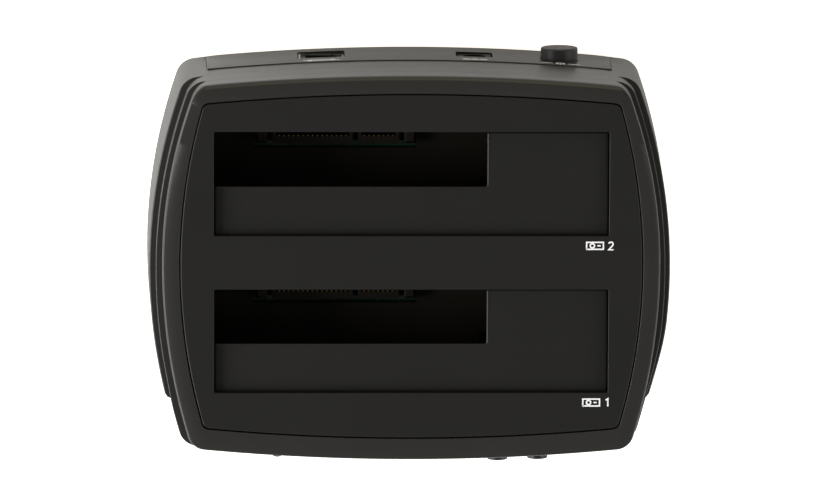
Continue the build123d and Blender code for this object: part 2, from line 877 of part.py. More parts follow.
def power_button():
    """Round push button with an eased edge and a retaining flange."""
    end = rear_apex + power_proud
    face = power_flange_face()
    cap = along_y(power_x, power_z, face - power_flange_thickness, end, power_radius)
    cap = fillet(cap.edges().sort_by(Axis.Y)[-1:], power_edge)
    return cap + along_y(power_x, power_z, face - power_flange_thickness, face, power_radius + power_flange)


def power_plunger():
    """Square plunger from the button into the switch."""
    rear = power_flange_face() - power_flange_thickness
    half = power_plunger_width / 2
    front = power_switch_rear() - power_plunger_reach
    return block(power_x - half, power_x + half, front, rear, power_z - half, power_z + half)


def power_switch_rear():
    """Y of the power switch's rear face, clear of the button when it is pressed."""
    return power_flange_face() - power_flange_thickness - power_travel - power_switch_gap


def power_switch_body():
    """Push switch on the main board, with a square bore for its plunger."""
    rear = power_switch_rear()
    half = power_switch_width / 2
    body = block(
        power_x - half, power_x + half, rear - power_switch_depth, rear, main_board_top, power_z + half
    )
    bore = power_plunger_width / 2 + power_plunger_clearance
    depth = power_plunger_reach + power_travel + 2 * power_plunger_clearance
    return body - block(power_x - bore, power_x + bore, rear - depth, rear, power_z - bore, power_z + bore)


def button_flange_front(x):
    """Y of a front button's flange, just behind the bowed front wall."""
    far_edge = x + button_radius + button_flange
    return front_apex + wall + set_back(far_edge) + button_flange_gap


def front_button(x):
    """Small turned button with a crowned face, a flange behind the wall and a stem to its switch."""
    flange_front = button_flange_front(x)
    flange_back = flange_front + button_flange_thickness
    face = front_apex - button_proud
    crown_radius = (button_radius**2 + button_dome**2) / (2 * button_dome)
    middle = button_radius / 2
    crown = ThreePointArc(
        (0, face),
        (middle, face + crown_radius - sqrt(crown_radius**2 - middle**2)),
        (button_radius, face + button_dome),
    )
    sides = Polyline(
        (button_radius, face + button_dome),
        (button_radius, flange_front),
        (button_radius + button_flange, flange_front),
        (button_radius + button_flange, flange_back),
        (button_stem_radius, flange_back),
        (button_stem_radius, plunger_tip()),
        (0, plunger_tip()),
        (0, face),
    )
    return Pos(x, 0, button_z) * revolve(make_face(crown + sides), Axis.Y)


def plunger_tip():
    """Y of the front switches' plunger tips."""
    return switch_face + switch_plunger_sunk - switch_plunger_length


def front_switch_plunger(x):
    """Round plunger in a front switch."""
    return along_y(x, button_z, plunger_tip(), switch_face + switch_plunger_sunk, switch_plunger_radius)


def front_switch(x):
    """Square push switch on the front board, with a bore for its plunger."""
    half = switch_width / 2
    body = block(x - half, x + half, switch_face, front_board_face, button_z - half, button_z + half)
    depth = switch_plunger_sunk + button_travel + switch_plunger_clearance
    return body - along_y(
        x, button_z, switch_face, switch_face + depth, switch_plunger_radius + switch_plunger_clearance
    )


def indicator_led():
    """Round lamp with a domed tip, a rim behind the wall and two legs to the front board."""
    tip = front_apex - led_proud
    dome_centre = tip + led_radius
    back = dome_centre + led_body_length
    lamp = Pos(led_x, dome_centre, button_z) * Sphere(led_radius)
    lamp += along_y(led_x, button_z, dome_centre, back, led_radius)
    lamp += along_y(led_x, button_z, back - led_rim_thickness, back, led_radius + led_rim)
    half = led_leg_width / 2
    for side in (-1, 1):
        x = led_x + side * led_leg_pitch / 2
        lamp += block(x - half, x + half, back - half, front_board_face, button_z - half, button_z + half)
    return lamp


def base_tray():
    """Bottom tray: floor plate, posts for both boards, recesses for feet and screws, and vents."""
    inset = wall + tray_gap
    ends = (bezel_front - inset, bezel_rear - inset, bezel_corner_radius - inset)
    narrow = outline(foot_gap, lower_groove_side - groove_wall - tray_gap, *ends)
    wide = outline(foot_gap, lower_side_at(tray_top) - inset, *ends)
    tray = extrude(narrow, tray_thickness)
    tray += extrude(wide, tray_thickness) & behind(skirt_front + inset)
    for places, board_top in ((main_screw_places, main_board_top), (drive_screw_places, drive_board_top)):
        post_top = board_top - board_thickness
        for x, y in places:
            tray += upright(x, y, tray_top, post_top, post_radius)
        tray = drilled(tray, places, board_top - screw_reach - screw_clearance, post_top)
    tray = drilled(tray, boss_places, foot_gap, tray_top)
    for x, y in boss_places:
        tray -= upright(x, y, foot_gap, foot_gap + case_head_sunk, screw_head_radius + foot_fit)
    for x, y in foot_places:
        tray -= upright(x, y, foot_gap, foot_gap + foot_sunk, foot_radius + foot_fit)
    for row in range(vent_rows):
        y = row * vent_row_pitch - vent_row_place - vent_row_pitch / 2
        for i in range(vent_count):
            x = (i - (vent_count - 1) / 2) * vent_pitch
            slot = Pos(x, y, foot_gap) * Rot(0, 0, 90) * SlotOverall(vent_length, vent_width)
            tray -= extrude(slot, tray_thickness)
    return tray


def foot(x, y):
    """Rubber foot in its recess, with an eased lower edge."""
    pad = upright(x, y, 0, foot_gap + foot_sunk, foot_radius)
    return fillet(pad.edges().sort_by(Axis.Z)[:1], foot_edge)


def case_screws():
    """Screws from below through the tray into the cover's bosses."""
    seat = foot_gap + case_head_sunk
    return group([Pos(x, y, seat) * Rot(180, 0, 0) * screw(0, 0, 0) for x, y in boss_places])


def board_screws(places, seat):
    """Screws that hold one board on its posts."""
    return group([screw(x, y, seat) for x, y in places])


def board_link_header():
    """Stacking connector between the two boards, waisted where its halves meet."""
    x = header_from_side - main_board_width / 2
    y = main_board_front + header_from_front
    half_length = header_length / 2
    half_width = header_width / 2
    middle = (main_board_top + drive_board_bottom) / 2
    body = block(
        x - half_length, x + half_length, y - half_width, y + half_width, main_board_top, drive_board_bottom
    )
    for side in (-1, 1):
        edge = y + side * half_width
        body -= block(
            x - half_length,
            x + half_length,
            edge - header_waist / 2,
            edge + header_waist / 2,
            middle - header_waist / 2,
            middle + header_waist / 2,
        )
    return body


def bridge_chip():
    """Flat controller chip with leads on all four sides."""
    x = board_parts_x
    y = main_board_front + chip_from_front
    half = chip_size / 2
    low = main_board_top + lead_height / 2
    body = block(x - half, x + half, y - half, y + half, low, low + chip_height)
    body = chamfer(body.edges().group_by(Axis.Z)[-1], chip_chamfer)
    for i in range(lead_count):
        offset = (i - (lead_count - 1) / 2) * lead_pitch
        lead = Box(lead_width, chip_size + 2 * lead_length, lead_height)
        body += Pos(x + offset, y, main_board_top + lead_height / 2) * lead
        body += Pos(x, y + offset, main_board_top + lead_height / 2) * Rot(0, 0, 90) * lead
    return body


def capacitors():
    """Can capacitors beside the power inlet."""
    cans = []
    first_x = dc_x + capacitor_from_inlet
    first_y = main_board_front + capacitor_from_front
    for i, j in ((0, 0), (-1, 0), (0, 1)):
        x = first_x + i * capacitor_pitch
        y = first_y + j * capacitor_pitch
        can = upright(x, y, main_board_top, main_board_top + capacitor_height, capacitor_radius)
        cans.append(fillet(can.edges().sort_by(Axis.Z)[-1:], capacitor_edge))
    return group(cans)


def choke():
    """Shielded power choke with cut corners."""
    x = dc_x - choke_from_inlet
    y = main_board_front + choke_from_front
    half = choke_size / 2
    body = block(x - half, x + half, y - half, y + half, main_board_top, main_board_top + choke_height)
    return chamfer(body.edges().filter_by(Axis.Z), choke_corner)


def crystal():
    """Clock crystal in its flat-sided can."""
    y = main_board_front + chip_from_front + crystal_from_chip
    plan = Pos(board_parts_x, y, main_board_top) * SlotOverall(crystal_length, crystal_width)
    return extrude(plan, crystal_height)


def bay_chips():
    """Small driver chips on the drive board, in the web between the bays."""
    half = bay_chip_size / 2
    top = drive_board_top + bay_chip_height
    places = [(i - (bay_chip_count - 1) / 2) * bay_chip_pitch for i in range(bay_chip_count)]
    chips = [block(x - half, x + half, web_y - half, web_y + half, drive_board_top, top) for x in places]
    return group(chips)


def build_nodes():
    """All pieces of the station, by node name."""
    nodes = {
        "cover_shell": cover_shell(),
        "top_panel": top_panel(),
        "io_panel": io_panel(),
        "base_tray": base_tray(),
        "case_screws": case_screws(),
        "main_board": main_board(),
        "main_board_screws": board_screws(main_screw_places, main_board_top),
        "drive_board": drive_board(),
        "drive_board_screws": board_screws(drive_screw_places, drive_board_top),
        "board_link_header": board_link_header(),
        "bridge_chip": bridge_chip(),
        "bay_chips": bay_chips(),
        "capacitors": capacitors(),
        "choke": choke(),
        "crystal": crystal(),
        "usb_socket_shell": usb_socket_shell(),
        "usb_socket_insert": usb_socket_insert(),
        "usb_contacts": usb_contacts(),
        "dc_jack_body": dc_jack_body(),
        "dc_jack_pin": dc_jack_pin(),
        "power_button": power_button(),
        "power_plunger": power_plunger(),
        "power_switch_body": power_switch_body(),
        "front_board": front_board(),
        "indicator_led": indicator_led(),
    }
    for name, centre in slot_centres.items():
        nodes[f"bay_guide_{name}"] = bay_guide(centre)
        nodes[f"flap_{name}"] = flap(centre)
        nodes[f"flap_pin_{name}"] = flap_pin(centre)
        nodes[f"flap_spring_{name}"] = flap_spring(centre)
        nodes[f"drive_socket_{name}"] = drive_socket(centre)
        nodes[f"drive_contacts_{name}"] = drive_contacts(centre)
    for name, x in button_places.items():
        nodes[f"{name}_button"] = front_button(x)
        nodes[f"{name}_plunger"] = front_switch_plunger(x)
        nodes[f"{name}_switch"] = front_switch(x)
    for number, (x, y) in enumerate(foot_places, start=1):
        nodes[f"foot_{number}"] = foot(x, y)
    return nodes


os.makedirs("parts", exist_ok=True)
for node_name, shape in build_nodes().items():
    export_step(origin_shift * shape, f"parts/{node_name}.step")
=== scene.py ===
# %% [markdown]
# # A docking station for two bare hard drives
# The station is a barrel-shaped box of matte black plastic. Two drives stand upright in the slots of its
# inset top panel, and the ports and the power button are on its rear wall. The photograph looks almost
# straight down on it, a little from behind, so that the rear wall shows along the top of the picture.
#
# The solid model comes first, as a fixed frame: it says where each piece is and what it moves with.
# This script gives those pieces their finish, and where a piece shows it builds a finer surface for it.

import json
from math import cos, radians, sin

import bmesh
import bpy
import numpy as np
from mathutils import Matrix, Vector
from mathutils.geometry import tessellate_polygon


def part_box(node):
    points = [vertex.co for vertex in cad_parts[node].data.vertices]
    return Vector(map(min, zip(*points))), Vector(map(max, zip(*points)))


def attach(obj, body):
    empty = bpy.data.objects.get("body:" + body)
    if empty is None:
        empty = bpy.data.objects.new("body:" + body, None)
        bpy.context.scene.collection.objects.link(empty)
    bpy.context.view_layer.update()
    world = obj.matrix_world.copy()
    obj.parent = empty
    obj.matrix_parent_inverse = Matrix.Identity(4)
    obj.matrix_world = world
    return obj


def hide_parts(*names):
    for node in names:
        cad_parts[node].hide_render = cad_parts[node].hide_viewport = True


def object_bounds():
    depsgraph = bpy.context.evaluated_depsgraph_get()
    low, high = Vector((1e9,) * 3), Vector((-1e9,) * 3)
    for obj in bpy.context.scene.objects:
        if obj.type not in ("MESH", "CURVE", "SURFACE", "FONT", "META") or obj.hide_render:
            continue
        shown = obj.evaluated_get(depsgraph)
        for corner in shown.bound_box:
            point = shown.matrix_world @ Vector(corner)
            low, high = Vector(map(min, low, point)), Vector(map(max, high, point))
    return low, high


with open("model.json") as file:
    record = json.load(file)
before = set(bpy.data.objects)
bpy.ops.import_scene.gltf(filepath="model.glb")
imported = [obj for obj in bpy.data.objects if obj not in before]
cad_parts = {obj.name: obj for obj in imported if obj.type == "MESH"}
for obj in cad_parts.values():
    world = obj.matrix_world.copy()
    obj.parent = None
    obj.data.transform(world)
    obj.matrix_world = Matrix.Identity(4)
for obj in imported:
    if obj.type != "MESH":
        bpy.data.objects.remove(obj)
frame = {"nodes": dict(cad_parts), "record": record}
cad_low, cad_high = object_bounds()

# %% [markdown]
# ## Sizes
# Sizes are real millimetres, turned into metres by one factor. Heights and places that the frame already
# holds are read from its boxes, so the new surfaces land on the solids they stand for. `origin_y` is where
# the middle of the top panel lies: the frame puts its origin under the middle of the whole part, buttons
# included, and that is half a millimetre further forward.

# %% Driving sizes
mm = 0.001
body_top = cad_high.z
origin_y = (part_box("top_panel")[0].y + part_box("top_panel")[1].y) / 2
panel_width = 121.8 * mm
panel_depth = 91.6 * mm
side_bow_radius = 153.6 * mm
end_bow_radius = 575.0 * mm
bezel_side, bezel_front, bezel_rear = 4.75 * mm, 6.0 * mm, 4.8 * mm
bezel_corner = 5.0 * mm
wall = 2.2 * mm
front_apex = origin_y - panel_depth / 2 - bezel_front
rear_apex = origin_y + panel_depth / 2 + bezel_rear
print("case:", round((rear_apex - front_apex) / mm, 1), "mm deep at the middle")

# %% [markdown]
# ## Helpers for surfaces
# Every new surface is a grid: rows of points, each row a closed ring or an open line. One helper numbers
# the four corners of each cell, and one puts points and faces into a mesh, closes its seams and poles,
# turns its faces outwards and lets it ride on a body of the frame.

# %% Grid faces
def grid_faces(rows, columns, close_rows=False, close_columns=True):
    """Cells of a grid: each point, its neighbour along the row, and the two beside them in the next row."""
    i, j = np.meshgrid(
        np.arange(rows if close_rows else rows - 1),
        np.arange(columns if close_columns else columns - 1),
        indexing="ij",
    )
    up, along = (i + 1) % rows, (j + 1) % columns
    cells = [i * columns + j, i * columns + along, up * columns + along, up * columns + j]
    return np.stack(cells, axis=-1).reshape(-1, 4)


# %% Mesh from points
sharp_angle = radians(32)


def add_object(name, data):
    """An object of this name and data, in the scene."""
    thing = bpy.data.objects.new(name, data)
    bpy.context.scene.collection.objects.link(thing)
    return thing


def tidy_mesh(mesh):
    """Joins double points, turns the faces outwards, and shades them smoothly except over sharp edges."""
    shape = bmesh.new()
    shape.from_mesh(mesh)
    bmesh.ops.remove_doubles(shape, verts=shape.verts, dist=1e-7)
    bmesh.ops.recalc_face_normals(shape, faces=shape.faces)
    shape.to_mesh(mesh)
    shape.free()
    mesh.shade_smooth()
    mesh.set_sharp_from_angle(angle=sharp_angle)


def new_piece(name, points, faces):
    """A closed surface as an object of its own, with its place in its mesh."""
    mesh = bpy.data.meshes.new(name)
    corners = [list(map(int, face)) for face in faces]
    mesh.from_pydata(np.asarray(points, float).reshape(-1, 3).tolist(), [], corners)
    tidy_mesh(mesh)
    return add_object(name, mesh)


def finish_piece(piece, finish, slot, body, *nodes):
    """Gives a piece its finish, lets it ride on a body, and hides the nodes it stands for. The slot is not
    used.
    """
    piece.data.materials.clear()
    piece.data.materials.append(finish)
    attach(piece, body)
    if nodes:
        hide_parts(*nodes)
    print(piece.name, len(piece.data.polygons), "faces")
    return piece


# %% [markdown]
# ## Camera
# A long lens from nearly two metres away, tipped nine degrees towards the rear wall and one degree to the
# left, and rolled by a fifth of a degree. The lens is worked out from the scale of the photograph: how many
# pixels one millimetre of the top panel takes, times the distance.

# %% Camera
image_width, image_height = 815, 493
pixels_per_mm = 3.8
camera_distance = 1900 * mm
tilt_to_rear, tilt_to_left = radians(9.3), radians(1.2)
roll = radians(0.2)
aim = Vector((-1.08 * mm, 6.0 * mm, body_top))
sensor_width = 36.0

towards_camera = Vector((
    -sin(tilt_to_left),
    sin(tilt_to_rear) * cos(tilt_to_left),
    cos(tilt_to_rear) * cos(tilt_to_left),
))
level_right = Vector((0, 1, 0)).cross(towards_camera).normalized()
level_up = towards_camera.cross(level_right)
picture_right = cos(roll) * level_right + sin(roll) * level_up
picture_up = cos(roll) * level_up - sin(roll) * level_right
lens = bpy.data.cameras.new("camera")
lens.sensor_width = sensor_width
lens.lens = pixels_per_mm * camera_distance / mm / image_width * sensor_width
lens.clip_start, lens.clip_end = 0.05, 20
camera = add_object("camera", lens)
camera.matrix_world = Matrix.Translation(aim + towards_camera * camera_distance) @ Matrix((
    picture_right, picture_up, towards_camera,
)).transposed().to_4x4()
bpy.context.scene.camera = camera
bpy.context.scene.view_settings.view_transform = "Standard"
print("lens:", round(lens.lens), "mm")

# %% [markdown]
# ## Floor, world and lamps
# The photograph is a cut-out on pure white. The floor is a plain pale sheet that still takes the object's
# soft shadow: to the camera it glows nearly white on top of what the lamps give, and glossy plastic sees a
# tenth of that glow. A dim grey world fills the shadows. Big soft lamps stand to the left and right, a warm
# one behind and a weak one in front. None is over the camera, so the flat top stays dark, and the case
# itself shades the strip of floor that its rear wall mirrors.

# %% Floor and world
def shader_nodes(owner):
    """Empties the node tree of a material or world and returns its nodes and links."""
    owner.use_nodes = True
    owner.node_tree.nodes.clear()
    return owner.node_tree.nodes, owner.node_tree.links


def floor_glow(nodes, links, straight, mirrored):
    """Straight for camera rays and those through clear plastic, mirrored for rays from gloss, else nought."""
    path = nodes.new("ShaderNodeLightPath")
    seen = nodes.new("ShaderNodeMath")
    seen.operation = "MAXIMUM"
    links.new(path.outputs["Is Camera Ray"], seen.inputs[0])
    links.new(path.outputs["Is Transmission Ray"], seen.inputs[1])
    strength = nodes.new("ShaderNodeMath")
    strength.operation = "MULTIPLY"
    strength.inputs[1].default_value = straight
    links.new(seen.outputs[0], strength.inputs[0])
    total = nodes.new("ShaderNodeMath")
    total.operation = "MULTIPLY_ADD"
    total.inputs[1].default_value = mirrored
    links.new(path.outputs["Is Glossy Ray"], total.inputs[0])
    links.new(strength.outputs[0], total.inputs[2])
    return total.outputs[0]


floor_white = bpy.data.materials.new("floor_white")
nodes, links = shader_nodes(floor_white)
paper = nodes.new("ShaderNodeBsdfDiffuse")
paper.inputs["Color"].default_value = (0.86, 0.86, 0.86, 1)
glow = nodes.new("ShaderNodeEmission")
glow.inputs["Color"].default_value = (1.0, 0.95, 0.86, 1)
links.new(floor_glow(nodes, links, straight=0.95, mirrored=0.10), glow.inputs["Strength"])
both = nodes.new("ShaderNodeAddShader")
links.new(paper.outputs[0], both.inputs[0])
links.new(glow.outputs[0], both.inputs[1])
links.new(both.outputs[0], nodes.new("ShaderNodeOutputMaterial").inputs["Surface"])

floor_size = 6.0
floor_mesh = bpy.data.meshes.new("floor")
half = floor_size / 2
floor_corners = [(-half, -half, 0), (half, -half, 0), (half, half, 0), (-half, half, 0)]
floor_mesh.from_pydata(floor_corners, [], [(0, 1, 2, 3)])
floor = add_object("floor", floor_mesh)
floor_mesh.materials.append(floor_white)

world = bpy.data.worlds.new("studio")
bpy.context.scene.world = world
nodes, links = shader_nodes(world)
sky = nodes.new("ShaderNodeBackground")
sky.inputs["Color"].default_value = (1, 1, 1, 1)
sky.inputs["Strength"].default_value = 0.18
links.new(sky.outputs[0], nodes.new("ShaderNodeOutputWorld").inputs["Surface"])
print("floor", floor_size, "m wide")


# %% Lamps
def soft_lamp(name, place, size, watts, colour=(1, 1, 1)):
    """A square soft box that looks at the middle of the case."""
    light = bpy.data.lights.new(name, "AREA")
    light.shape = "SQUARE"
    light.size = size
    light.energy = watts
    light.color = colour
    lamp = add_object(name, light)
    centre = Vector((0, 0, body_top / 2))
    lamp.location = place
    lamp.rotation_euler = (centre - Vector(place)).to_track_quat("-Z", "Y").to_euler()
    return lamp


soft_lamp("lamp_left", (-1.3, -0.3, 0.75), 1.0, 32)
soft_lamp("lamp_rear", (0.2, 1.5, 0.7), 1.2, 6.5, (1.0, 0.86, 0.58))
soft_lamp("lamp_right", (1.4, -0.5, 0.85), 1.0, 13)
soft_lamp("lamp_front", (-0.3, -1.4, 0.8), 1.0, 3)
print("4 soft lamps")

# %% [markdown]
# ## Finishes
# Nearly everything that shows is the same black ABS in slightly different textures. A moulded surface
# like this has a fine spark-eroded grain, about a quarter of a millimetre across, which spreads the
# highlights. The colour wanders a little, and the roughness with it. All patterns read object
# coordinates, which are metres here, so that a grain has one size on every piece.

# %% Parts of a finish
def plain_finish(name):
    """A material with one shader: itself, its nodes and links, the shader, and object coordinates."""
    finish = bpy.data.materials.new(name)
    nodes, links = shader_nodes(finish)
    skin = nodes.new("ShaderNodeBsdfPrincipled")
    links.new(skin.outputs[0], nodes.new("ShaderNodeOutputMaterial").inputs["Surface"])
    place = nodes.new("ShaderNodeTexCoord").outputs["Object"]
    return finish, nodes, links, skin, place


def vary_roughness(nodes, links, skin, pattern, low, high):
    """Roughness that runs from low to high with a pattern."""
    rough = nodes.new("ShaderNodeMapRange")
    rough.inputs["To Min"].default_value = low
    rough.inputs["To Max"].default_value = high
    links.new(pattern, rough.inputs["Value"])
    links.new(rough.outputs["Result"], skin.inputs["Roughness"])


def raise_skin(nodes, links, skin, pattern, strength, depth):
    """A bump of so many metres that follows a pattern."""
    bump = nodes.new("ShaderNodeBump")
    bump.inputs["Strength"].default_value = strength
    bump.inputs["Distance"].default_value = depth
    links.new(pattern, bump.inputs["Height"])
    links.new(bump.outputs["Normal"], skin.inputs["Normal"])


# %% Moulded plastic
def moulded_plastic(name, colour, roughness, grain=0.25 * mm, depth=0.012 * mm, shine=0.35, drift=0.12):
    """Plastic whose colour and roughness drift with slow noise and whose skin has a fine grain."""
    finish, nodes, links, skin, place = plain_finish(name)
    skin.inputs["IOR"].default_value = 1.5
    skin.inputs["Specular IOR Level"].default_value = shine

    slow = nodes.new("ShaderNodeTexNoise")
    slow.inputs["Scale"].default_value = 45
    slow.inputs["Detail"].default_value = 4
    links.new(place, slow.inputs["Vector"])
    shade = nodes.new("ShaderNodeMix")
    shade.data_type = "RGBA"
    shade.inputs["A"].default_value = (*[c * (1 - drift) for c in colour], 1)
    shade.inputs["B"].default_value = (*[c * (1 + drift) for c in colour], 1)
    links.new(slow.outputs["Fac"], shade.inputs["Factor"])
    links.new(shade.outputs["Result"], skin.inputs["Base Color"])

    fine = nodes.new("ShaderNodeTexNoise")
    fine.inputs["Scale"].default_value = 1 / grain
    fine.inputs["Detail"].default_value = 2
    links.new(place, fine.inputs["Vector"])
    vary_roughness(nodes, links, skin, fine.outputs["Fac"], roughness - 0.06, roughness + 0.06)
    raise_skin(nodes, links, skin, fine.outputs["Fac"], 0.5, depth)
    return finish


case_black = moulded_plastic("case_black", (0.0240, 0.0232, 0.0212), 0.30, shine=0.32)
panel_black = moulded_plastic("panel_black", (0.0134, 0.0130, 0.0124), 0.38, shine=0.28)
# The inside parts' black is darker and browner than the case's: partly their own colour, partly painted shade
# deep inside the slots.
inner_black = moulded_plastic("inner_black", (0.0130, 0.0105, 0.0065), 0.5, shine=0.2)
button_black = moulded_plastic("button_black", (0.012, 0.012, 0.012), 0.36)
drum_black = moulded_plastic(
    "drum_black", (0.034, 0.034, 0.035), 0.42, grain=0.5 * mm, depth=0.03 * mm, drift=0.2,
)
print("black plastics")


# %% Metal, board and the rest
def worn_metal(name, colour, roughness, streak=(400, 400, 4000)):
    """Metal whose roughness follows noise drawn out along one direction, like rolling or plating marks."""
    finish, nodes, links, skin, place = plain_finish(name)
    skin.inputs["Base Color"].default_value = (*colour, 1)
    skin.inputs["Metallic"].default_value = 1
    stretch = nodes.new("ShaderNodeMapping")
    stretch.inputs["Scale"].default_value = streak
    links.new(place, stretch.inputs["Vector"])
    marks = nodes.new("ShaderNodeTexNoise")
    marks.inputs["Scale"].default_value = 1
    marks.inputs["Detail"].default_value = 3
    links.new(stretch.outputs[0], marks.inputs["Vector"])
    vary_roughness(nodes, links, skin, marks.outputs["Fac"], roughness - 0.08, roughness + 0.12)
    return finish


def circuit_board(name):
    """Green solder mask over copper: a brick pattern of fine lines lightens the green where tracks run."""
    finish, nodes, links, skin, place = plain_finish(name)
    skin.inputs["Roughness"].default_value = 0.35
    tracks = nodes.new("ShaderNodeTexBrick")
    tracks.inputs["Color1"].default_value = (0.006, 0.040, 0.016, 1)
    tracks.inputs["Color2"].default_value = (0.005, 0.032, 0.013, 1)
    tracks.inputs["Mortar"].default_value = (0.014, 0.080, 0.030, 1)
    tracks.inputs["Scale"].default_value = 90
    tracks.inputs["Mortar Size"].default_value = 0.03
    tracks.inputs["Mortar Smooth"].default_value = 0.3
    links.new(place, tracks.inputs["Vector"])
    links.new(tracks.outputs["Color"], skin.inputs["Base Color"])
    raise_skin(nodes, links, skin, tracks.outputs["Fac"], 0.4, 0.03 * mm)
    return finish


finishes = {
    "case_black": case_black,
    "panel_black": panel_black,
    "inner_black": inner_black,
    "button_black": button_black,
    "plunger_white": moulded_plastic("plunger_white", (0.70, 0.69, 0.64), 0.45),
    "foot_rubber": moulded_plastic("foot_rubber", (0.012, 0.012, 0.012), 0.8, shine=0.2),
    "chip_black": moulded_plastic("chip_black", (0.012, 0.012, 0.013), 0.55),
    "lamp_clear": moulded_plastic("lamp_clear", (0.030, 0.031, 0.034), 0.2, shine=0.5),
    "steel": worn_metal("steel", (0.55, 0.55, 0.54), 0.32),
    "socket_steel": worn_metal("socket_steel", (0.62, 0.61, 0.58), 0.28),
    "aluminium_can": worn_metal("aluminium_can", (0.70, 0.70, 0.71), 0.35),
    # The gold plating is darkened far below real gold: painted shade on the contacts deep inside the bays.
    "gold_plate": worn_metal("gold_plate", (0.38, 0.27, 0.11), 0.35),
    "board_green": circuit_board("board_green"),
}
print(len(finishes), "finishes")

# %% [markdown]
# ## The plan of the case
# Seen from above the case is a barrel: four shallow arcs, drawn in at the corners by small ones. Each
# outline is the meeting of four big discs, one for each side, whose edge is moved out or in by its own
# distance. A corner arc touches two of those discs from inside, so its centre lies where the two discs,
# shrunk by the corner's radius, cross. Every ring has the same number of points, a little crowded towards
# the corners, so that rings of different size join point to point.

# %% Barrel rings
side_centre = side_bow_radius - panel_width / 2
end_centre = end_bow_radius - panel_depth / 2
end_steps, corner_steps, side_steps = 24, 10, 44
crowding = 1.15


def corner_centre(side_disc, end_disc, corner):
    """Where the discs about (-side_centre, 0) and (0, -end_centre) cross, both shrunk by the corner."""
    a = side_disc - corner
    b = end_disc - corner
    span = np.hypot(side_centre, end_centre)
    along = (a**2 - b**2 + span**2) / (2 * span)
    across = np.sqrt(a**2 - along**2)
    ux, uy = side_centre / span, -end_centre / span
    return -side_centre + along * ux - across * uy, along * uy + across * ux


def barrel_half(side, end, corner):
    """A quarter of each outline, from the middle of the end to the middle of the right side."""
    side_disc, end_disc = side_bow_radius + side, end_bow_radius + end
    cx, cy = corner_centre(side_disc, end_disc, corner)
    start = np.arctan2(cy + end_centre, cx)
    stop = np.arctan2(cy, cx + side_centre)
    t = np.linspace(0, 1, end_steps, endpoint=False)
    end_x = end_disc * np.cos(start) * t
    end_y = np.sqrt(end_disc**2 - end_x**2) - end_centre
    angle = start + (stop - start) * np.linspace(0, 1, corner_steps, endpoint=False)
    corner_x, corner_y = cx + corner * np.cos(angle), cy + corner * np.sin(angle)
    side_y = side_disc * np.sin(stop) * (1 - np.linspace(0, 1, side_steps, endpoint=False) ** crowding)
    side_x = np.sqrt(side_disc**2 - side_y**2) - side_centre
    return np.concatenate([end_x, corner_x, side_x], -1), np.concatenate([end_y, corner_y, side_y], -1)


def barrel_ring(side, front, rear, corner):
    """Closed outline, anticlockwise from the middle of the front: x and y for each station and each step."""
    side, front, rear, corner = (np.atleast_1d(v).astype(float)[:, None] for v in (side, front, rear, corner))
    fx, fy = barrel_half(side, front, corner)
    rx, ry = barrel_half(side, rear, corner)
    middle_x = panel_width / 2 + side
    right_x = np.concatenate([fx, middle_x, rx[:, :0:-1]], -1)
    right_y = np.concatenate([-fy, 0 * side, ry[:, :0:-1]], -1)
    top = panel_depth / 2 + rear
    x = np.concatenate([right_x, 0 * side, -right_x[:, :0:-1]], -1)
    y = np.concatenate([right_y, top, right_y[:, :0:-1]], -1)
    return x, y + origin_y


ring_x, ring_y = barrel_ring(0, 0, 0, 2 * mm)
print("ring of", ring_x.shape[1], "points,", round(float(np.ptp(ring_x)) / mm, 1), "mm wide")

# %% [markdown]
# ## The cover
# The cover is one moulding: a rounded bezel, three bands down each side with grooves between them, and
# plain walls at the rear and front, where the bezel overhangs by half a millimetre. Its section is a closed
# line, up the outside, over the bezel, down to the ledge that the panel lies on, and down the inside. That
# line is carried round the barrel. Each corner of the line says how far out the side, front and rear stand
# there, so a band that stands out only at the sides dies away round the corners by itself, as the real ribs
# do. Every corner is eased by a small curve.

# %% Eased section lines
def eased(corners, sizes, steps=4, closed=True):
    """Replaces each corner by a curve from the point its size before it to the point its size after it."""
    corners = np.asarray(corners, float)
    sizes = np.asarray(sizes, float)[:, None]
    before, after = np.roll(corners, 1, axis=0), np.roll(corners, -1, axis=0)
    reach_in = np.minimum(sizes / np.linalg.norm(before - corners, axis=1, keepdims=True), 0.49)
    reach_out = np.minimum(sizes / np.linalg.norm(after - corners, axis=1, keepdims=True), 0.49)
    if not closed:
        reach_in[0] = reach_in[-1] = reach_out[0] = reach_out[-1] = 0
    start = corners + (before - corners) * reach_in
    end = corners + (after - corners) * reach_out
    t = np.linspace(0, 1, steps)[None, :, None]
    curve = (1 - t) ** 2 * start[:, None] + 2 * t * (1 - t) * corners[:, None] + t**2 * end[:, None]
    points = curve.reshape(-1, corners.shape[1])
    keep = np.linalg.norm(points - np.roll(points, 1, axis=0), axis=1) > 1e-9
    return points[keep] if closed else points


# %% Section of the cover
foot_gap = 1.2 * mm
lower_top = 39.5 * mm
middle_bottom, middle_top = 41.1 * mm, 49.83 * mm
upper_bottom = 51.37 * mm
front_step = 54.4 * mm
lower_side, lower_flare = 8.2 * mm, 1.15 * mm
middle_side, middle_flare = 6.4 * mm, 0.12 * mm
upper_flare = 0.1 * mm
lower_groove_side, upper_groove_side = 5.8 * mm, 4.2 * mm
bezel_drop, bezel_edge_height = 0.2 * mm, 1.6 * mm
bezel_edge_side, bezel_edge_front, bezel_edge_rear = 0.5 * mm, 0.5 * mm, 1.6 * mm
front_recess = 0.5 * mm
lip = 0.25 * mm
groove_wall = 1.2 * mm
seat_height, ledge, roof = 58.0 * mm, 2.0 * mm, 56.4 * mm
seam_corner = 2.0 * mm
trace = 0.005
step_height = 0.5 * mm
ease, blunt_ease, step_ease, seat_ease = 0.3 * mm, 0.45 * mm, 0.2 * mm, 0.1 * mm


